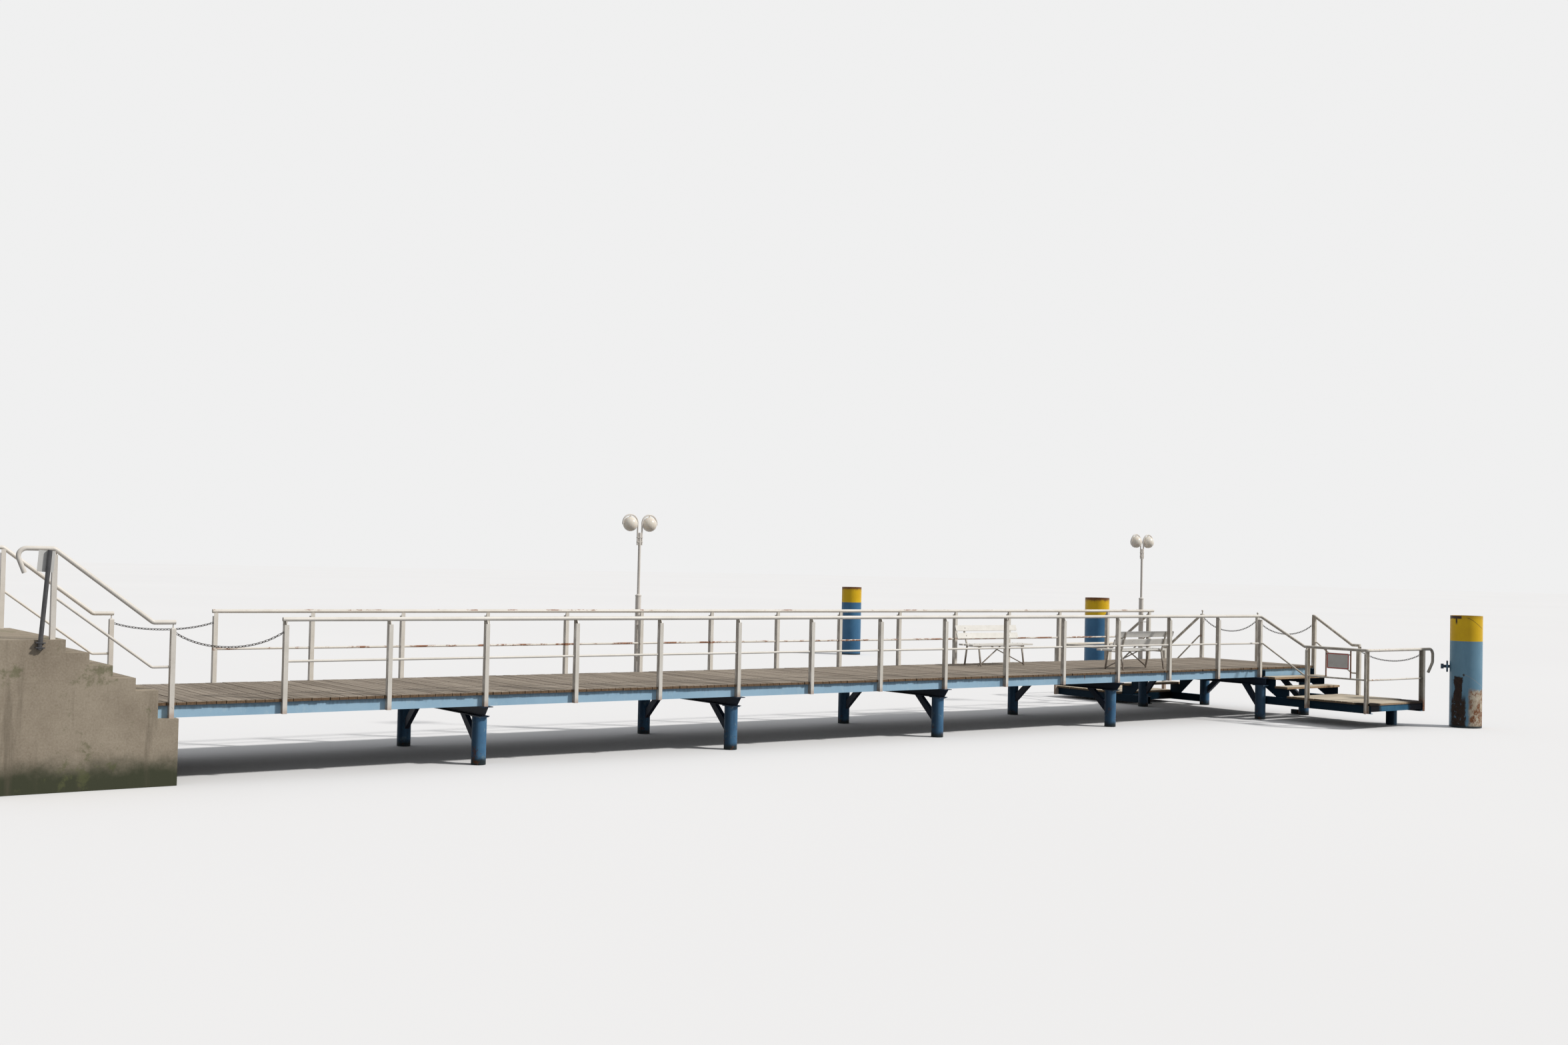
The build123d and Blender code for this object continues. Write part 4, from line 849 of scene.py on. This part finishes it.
def boards(name, turned, along, across, level, notches, seed, material, ragged, *replaced):
    """Parallel boards, each with its own tone; turned ones run along X, the others along Y."""
    rnd = random.Random(seed)
    bm = board_mesh()
    start, end = along
    count, pitch = board_pitch(start, end)
    for i in range(count):
        u0 = start + i * pitch + BOARD_SPLIT / 2
        u1 = start + (i + 1) * pitch - BOARD_SPLIT / 2
        va = across[0] + rnd.uniform(0, ragged) * rnd.choice((0.3, 1.0))
        vb = across[1] - rnd.uniform(0, ragged) * rnd.choice((0.3, 1.0))
        top = level - rnd.uniform(0, 0.004)
        outline = board_end(u0, u1, va, 1, notches)
        outline += reversed(board_end(u0, u1, vb, -1, notches))
        if turned:
            outline = [(v, u) for u, v in reversed(outline)]
        slab(bm, outline, level - BOARD, top, rnd.random())
    piece(name, bm, (material,), "decking", *replaced)


def walkway():
    half_u, half_v = POST_WIDTH / 2 + NOTCH_GAP, POST_DEPTH / 2 + NOTCH_GAP
    posts = [(x, s * POST_LINE, half_u, half_v) for x in STATIONS + [HEAD_X] for s in (-1, 1)]
    for name, along, seed, replaced in (
        ("walkway_boards", (DECK_START, STAIR_X), 11, ("deck_shore_end", "deck_middle", "deck_outer_end")),
        ("head_boards", (STAIR_X, DECK_END), 12, ("deck_head",)),
    ):
        boards(name, False, along, (-BOARD_EDGE, BOARD_EDGE), DECK, posts, seed, DECK_WOOD, RAGGED, *replaced)


def landing(label, side, drop, rises, going, reach, seed):
    """The boards of a landing, laid along X, and the planks of the treads above it."""
    stair_end = POST_LINE + (rises - 1) * going
    front = POST_LINE + reach + LANDING_LIP
    corner = POST_LINE + reach - CORNER_INSET
    corner_back = corner - CORNER_POST_DEPTH / 2
    half_cu, half_cv = CHANNEL_DEPTH / 2 + NOTCH_GAP, CHANNEL_WIDTH / 2 + NOTCH_GAP
    half_post = POST_WIDTH / 2 + NOTCH_GAP
    notches = [
        (side * (POST_LINE + KNEE_LEFT), STAIR_X, half_cu, half_cv),
        (side * (corner - CHANNEL_SETBACK), STAIR_X, half_cu, half_cv),
        (side * (POST_LINE + KNEE_RIGHT), HEAD_X, POST_DEPTH / 2 + NOTCH_GAP, half_post),
        (side * (corner_back + front) / 2, HEAD_X, (front - corner_back) / 2 + NOTCH_GAP, half_post),
    ]
    boards(f"{label}_landing_boards", True, sorted((side * stair_end, side * front)),
           (LANDING_LEFT, LANDING_RIGHT), DECK - drop, notches, seed, LANDING_WOOD, LANDING_RAGGED,
           f"{label}_landing_deck")
    rnd = random.Random(seed + 50)
    bm = board_mesh()
    for k in range(1, rises):
        back = max(POST_LINE + (k - 1) * going + TREAD_NOSING, WEB + FIRST_TREAD_GAP)
        nose = POST_LINE + k * going + TREAD_NOSING
        if k == rises - 1:
            nose = stair_end - TREAD_SPLIT / 2
        top = DECK - k * drop / rises
        middle = (back + nose) / 2
        for a, b in ((back, middle - TREAD_SPLIT / 2), (middle + TREAD_SPLIT / 2, nose)):
            ya, yb = sorted((side * a, side * b))
            x0 = STAIR_X + TREAD_MARGIN + rnd.uniform(0, 0.006)
            x1 = HEAD_X - TREAD_MARGIN - rnd.uniform(0, 0.006)
            slab(bm, [(x0, ya), (x1, ya), (x1, yb), (x0, yb)], top - TREAD, top, rnd.random(), 0.004)
    piece(f"{label}_stair_planks", bm, (LANDING_WOOD,), "decking", f"{label}_stair_treads")


walkway()
landing("near", -1, NEAR_DROP, NEAR_RISES, NEAR_GOING, NEAR_REACH, 21)
landing("far", 1, FAR_DROP, FAR_RISES, FAR_GOING, FAR_REACH, 22)


# Chains
def link(bm, centre, along, flat, length):
    """One chain link: a ring of round wire, longer than it is wide."""
    ring, tube = 12, 6
    straight = length / 2
    radius = length / 4
    side = along.cross(flat).normalized()
    loops = []
    for i in range(ring):
        a = 2 * math.pi * i / ring
        c, s = math.cos(a), math.sin(a)
        shift = straight / 2 * (1 if c > 0 else -1)
        middle = centre + along * (radius * c + shift) + side * (radius * s)
        out = (along * c + side * s).normalized()
        loop = []
        for j in range(tube):
            b = 2 * math.pi * j / tube
            loop.append(bm.verts.new(middle + (out * math.cos(b) + flat * math.sin(b)) * LINK_WIRE))
        loops.append(loop)
    for i in range(ring):
        a, b = loops[i], loops[(i + 1) % ring]
        for j in range(tube):
            k = (j + 1) % tube
            bm.faces.new((a[j], a[k], b[k], b[j]))


def hanging_line(start, end, sag, steps=200):
    """The line that a chain hangs in, as many short steps."""
    a, b = Vector(start), Vector(end)
    out = []
    for i in range(steps + 1):
        t = i / steps
        drop = 1 - (math.cosh(CHAIN_STEEP * (2 * t - 1)) - 1) / (math.cosh(CHAIN_STEEP) - 1)
        p = a.lerp(b, t)
        p.z -= sag * drop
        out.append(p)
    return out


def chain(bm, start, end, sag):
    """Links set one after another along the hanging line, every second one turned."""
    line = hanging_line(start, end, sag)
    length = sum((q - p).length for p, q in zip(line, line[1:]))
    count = round(length / LINK_PITCH)
    step = length / count
    walked, want, k = 0.0, step / 2, 0
    for p, q in zip(line, line[1:]):
        seg = (q - p).length
        while walked + seg >= want and k < count:
            at = p.lerp(q, (want - walked) / seg)
            along = (q - p).normalized()
            side = along.cross(Vector((0, 0, 1))).normalized()
            upright = side.cross(along).normalized()
            twist = math.radians(45 if k % 2 else -45)
            link(bm, at, along, side * math.cos(twist) + upright * math.sin(twist), step * 1.12)
            want += step
            k += 1
        walked += seg


def chain_piece(name, replaced, *runs):
    bm = bmesh.new()
    for start, end, sag in runs:
        chain(bm, start, end, sag)
    piece(name, bm, (CHAIN_STEEL,), "chain_steel", replaced)


def chains():
    first, last = STATIONS[0] + POST_WIDTH / 2, STATIONS[1] - POST_WIDTH / 2
    chain_piece("shore_chain_links", "shore_chains", *(
        ((first, s * POST_LINE, CHAIN_Z), (last, s * POST_LINE, CHAIN_Z), sag)
        for s, sag in ((-1, NEAR_SHORE_SAG), (1, FAR_SHORE_SAG))
    ))
    chain_piece("head_chain_links", "head_chains", *(
        ((HEAD_CHAIN_X, s * POST_WIDTH / 2, CHAIN_Z), (HEAD_CHAIN_X, s * WEB, CHAIN_Z), HEAD_SAG)
        for s in (-1, 1)
    ))
    knee = -POST_LINE - KNEE_RIGHT - POST_DEPTH / 2
    corner = -POST_LINE - NEAR_REACH + CORNER_INSET + CORNER_POST_DEPTH / 2
    chain_piece("landing_chain_links", "landing_chain",
                ((HEAD_X, knee, LANDING_CHAIN_Z), (HEAD_X, corner, LANDING_CHAIN_Z), LANDING_SAG))


chains()


# Landing sign: a blank white panel with a red border on thin legs
def box(bm, lo, hi, index, bevel=0.0015):
    x0, y0, z0 = lo
    x1, y1, z1 = hi
    v = [bm.verts.new((x, y, z)) for x in (x0, x1) for y in (y0, y1) for z in (z0, z1)]
    faces = []
    for quad in ((0, 1, 3, 2), (4, 6, 7, 5), (0, 4, 5, 1), (2, 3, 7, 6), (0, 2, 6, 4), (1, 5, 7, 3)):
        f = bm.faces.new([v[i] for i in quad])
        f.material_index = index
        faces.append(f)
    edges = {e for f in faces for e in f.edges}
    bmesh.ops.bevel(bm, geom=list(edges), offset=bevel, segments=1, affect="EDGES")


def rounded(cy, cz, w, h, r, steps=6):
    """Points (y, z) round a rectangle with rounded corners."""
    out = []
    for sy, sz, turn in ((1, 1, 0), (-1, 1, 90), (-1, -1, 180), (1, -1, 270)):
        for k in range(steps + 1):
            a = math.radians(turn + 90 * k / steps)
            out.append((cy + sy * (w / 2 - r) + r * math.cos(a), cz + sz * (h / 2 - r) + r * math.sin(a)))
    return out


def join_rings(bm, rings, index=0):
    """Faces between rings of equally many points, each joined to the next."""
    for a, b in rings:
        for i in range(len(a)):
            k = (i + 1) % len(a)
            bm.faces.new((a[i], a[k], b[k], b[i])).material_index = index


def sign():
    bm = bmesh.new()
    panel, border, legs = range(3)
    x = STAIR_X - SIGN_LEG / 2
    half = SIGN_LEG / 2
    near = -POST_LINE - SIGN_START
    far = near - SIGN_WIDTH
    level = DECK - NEAR_DROP
    top = level + LANDING_RAIL - RAIL_RADIUS
    foot = level + LANDING_MID_RAIL + MID_RAIL_RADIUS
    bar = top - SIGN_DROP
    for y in (near, far):
        box(bm, (x, y - half, foot), (x + SIGN_LEG, y + half, top), legs)
    box(bm, (x, far, bar - half), (x + SIGN_LEG, near, bar + half), legs)
    middle = ((near + far) / 2, bar - SIGN_HEIGHT / 2 + SIGN_LEG)
    width = SIGN_WIDTH - 2 * SIGN_MARGIN
    outline = rounded(*middle, width, SIGN_HEIGHT, 0.018)
    front = [bm.verts.new((x - SIGN_THICKNESS, y, z)) for y, z in outline]
    back = [bm.verts.new((x, y, z)) for y, z in outline]
    bm.faces.new(front)
    bm.faces.new(list(reversed(back)))
    join_rings(bm, [(back, front)], panel)
    inset, wide, proud, sunk = 0.008, 0.016, 0.0008, 0.0005
    outer = rounded(*middle, width - 2 * inset, SIGN_HEIGHT - 2 * inset, 0.014)
    inner = rounded(*middle, width - 2 * (inset + wide), SIGN_HEIGHT - 2 * (inset + wide), 0.006)
    rings = []
    for depth, line in ((proud, outer), (proud, inner), (-sunk, inner), (-sunk, outer)):
        rings.append([bm.verts.new((x - SIGN_THICKNESS - depth, y, z)) for y, z in line])
    join_rings(bm, zip(rings, rings[1:] + rings[:1]), border)
    piece("sign_panel", bm, (SIGN_WHITE, SIGN_RED, SIGN_LEGS), "sign_panel", "landing_sign")


sign()


# Fasteners
def head(bm, centre, out, radius, height, sides=6):
    """A low many-sided bolt or screw head that stands on a face."""
    centre = Vector(centre)
    out = Vector(out).normalized()
    side = out.orthogonal().normalized()
    other = out.cross(side)
    rings = []
    for level, r in ((-0.002, radius), (height * 0.75, radius), (height, radius * 0.8)):
        ring = []
        for k in range(sides):
            a = 2 * math.pi * k / sides
            way = side * math.cos(a) + other * math.sin(a)
            ring.append(bm.verts.new(centre + out * level + way * r))
        rings.append(ring)
    join_rings(bm, zip(rings, rings[1:]))
    bm.faces.new(rings[-1])
    bm.faces.new(list(reversed(rings[0])))


def board_screws():
    """Two screws in each board over each joist, except where a post stands."""
    bm = bmesh.new()
    rnd = random.Random(31)
    count, pitch = board_pitch(DECK_START, STAIR_X)
    for i in range(count):
        x = DECK_START + (i + 0.5) * pitch
        for y in JOISTS:
            for dx in (-SCREW_SPREAD, SCREW_SPREAD):
                by_post = min(abs(x + dx - station) for station in STATIONS) < POST_CLEARANCE
                if by_post and abs(y) > WEB - POST_DEPTH / 2:
                    continue
                at = (x + dx + rnd.uniform(-0.003, 0.003), y + rnd.uniform(-0.006, 0.006), SCREW_LEVEL)
                head(bm, at, (0, 0, 1), SCREW_RADIUS, SCREW_HEIGHT)
    piece("deck_screws", bm, (SCREW_STEEL,), "decking")


def bench_bolts():
    """Round bolt heads where the slats meet the bars."""
    bm = bmesh.new()
    half_bar = BENCH_BAR / 2
    for x, back, faces, lower in BENCHES:
        seat = DECK + SEAT_HEIGHT - lower
        seat_back = back + faces * BACK_LEAN
        first_row = BENCH_BAR * 0.7 + SLAT_WIDTH / 2
        top = Vector((0, back, DECK + BACK_HEIGHT - lower - BENCH_BAR))
        foot = Vector((0, seat_back, seat - SEAT_SLAT - half_bar))
        up = (top - foot).normalized()
        normal = Vector((0, faces * up.z, -faces * up.y))
        for leg_x in (x - BENCH_LEG_X, x + BENCH_LEG_X):
            for row in range(3):
                y = seat_back + faces * (first_row + row * (SLAT_WIDTH + SEAT_SLAT_GAP))
                head(bm, (leg_x, y, seat), (0, 0, 1), SLAT_BOLT_RADIUS, SLAT_BOLT_HEIGHT, 8)
            for row in range(2):
                down = row * (SLAT_WIDTH + BACK_SLAT_GAP) + SLAT_WIDTH / 2 - half_bar
                at = top - up * down + normal * (half_bar + BACK_SLAT)
                at.x = leg_x
                head(bm, at, normal, SLAT_BOLT_RADIUS, SLAT_BOLT_HEIGHT, 8)
    piece("bench_bolts", bm, (SCREW_STEEL,), "bench_frame")


def frame_bolts():
    """Bolt heads under the pile caps and on the foot plates of the lamps."""
    bm = bmesh.new()
    for x, pile_y in BENTS:
        for s in (-1, 1):
            for dx in (-CAP_BOLT_SPREAD, CAP_BOLT_SPREAD):
                at = (x + dx, s * (pile_y + CAP_BOLT_OUT), CAP_Z)
                head(bm, at, (0, 0, -1), BOLT_RADIUS, CAP_BOLT_HEIGHT)
    for x in LAMPS:
        for dx in (-PLATE_BOLT_SPREAD, PLATE_BOLT_SPREAD):
            for dy in (-PLATE_BOLT_SPREAD, PLATE_BOLT_SPREAD):
                at = (x + dx, POST_LINE + LAMP_OFFSET + dy, BEAM_FOOT + LAMP_PLATE)
                head(bm, at, (0, 0, 1), BOLT_RADIUS, PLATE_BOLT_HEIGHT)
    piece("frame_bolts", bm, (GALVANISED,), "railing_paint")


board_screws()
bench_bolts()
frame_bolts()


# Light and floor
KEY_STRENGTH = 2.75
KEY_ANGLE = math.radians(5)
KEY_COLOUR = (1, 0.965, 0.91)
SUN_WAY = Vector((-0.52, 0.55, -0.655))
FILL = 0.42
BACKDROP = 0.87
FLOOR_SIZE = 300
FLOOR_PLACE = (12, 5, -0.002)


def sky():
    """Even light: a dim fill for the object, and a pale backdrop for the eye and for gloss."""
    world = bpy.data.worlds.new("World")
    bpy.context.scene.world = world
    world.use_nodes = True
    nt = world.node_tree
    back = nt.nodes["Background"]
    path = nt.nodes.new("ShaderNodeLightPath")
    seen = nt.nodes.new("ShaderNodeMath")
    seen.operation = "MAXIMUM"
    nt.links.new(path.outputs["Is Camera Ray"], seen.inputs[0])
    nt.links.new(path.outputs["Is Glossy Ray"], seen.inputs[1])
    mix = nt.nodes.new("ShaderNodeMix")
    mix.data_type = "FLOAT"
    nt.links.new(seen.outputs[0], mix.inputs[0])
    mix.inputs[2].default_value = FILL
    mix.inputs[3].default_value = BACKDROP
    nt.links.new(mix.outputs[0], back.inputs["Strength"])
    back.inputs["Color"].default_value = (1, 1, 1, 1)


def sun():
    light = bpy.data.lights.new("Key", "SUN")
    light.energy = KEY_STRENGTH
    light.angle = KEY_ANGLE
    light.color = KEY_COLOUR
    key = bpy.data.objects.new("Key", light)
    key.rotation_mode = "QUATERNION"
    key.rotation_quaternion = SUN_WAY.to_track_quat("-Z", "Y")
    bpy.context.scene.collection.objects.link(key)


def floor():
    """A pale ground that throws little light back at the object."""
    bm = bmesh.new()
    bmesh.ops.create_grid(bm, x_segments=8, y_segments=8, size=FLOOR_SIZE)
    data = bpy.data.meshes.new("floor")
    bm.to_mesh(data)
    bm.free()
    obj = bpy.data.objects.new("floor", data)
    obj.location = FLOOR_PLACE
    bpy.context.scene.collection.objects.link(obj)
    p = Paint("floor_pale", roughness=0.95, specular=0.0)
    p.tone = p.ramp(p.noise(0.05, 2, 0.5), (0.3, (0.865, 0.875, 0.9)), (0.7, (0.88, 0.89, 0.915)))
    path = p.nt.nodes.new("ShaderNodeLightPath")
    p.over(path.outputs["Is Diffuse Ray"], (0.2, 0.21, 0.23))
    data.materials.append(p.done())


sky()
sun()
floor()
bpy.context.scene.view_settings.view_transform = "Standard"
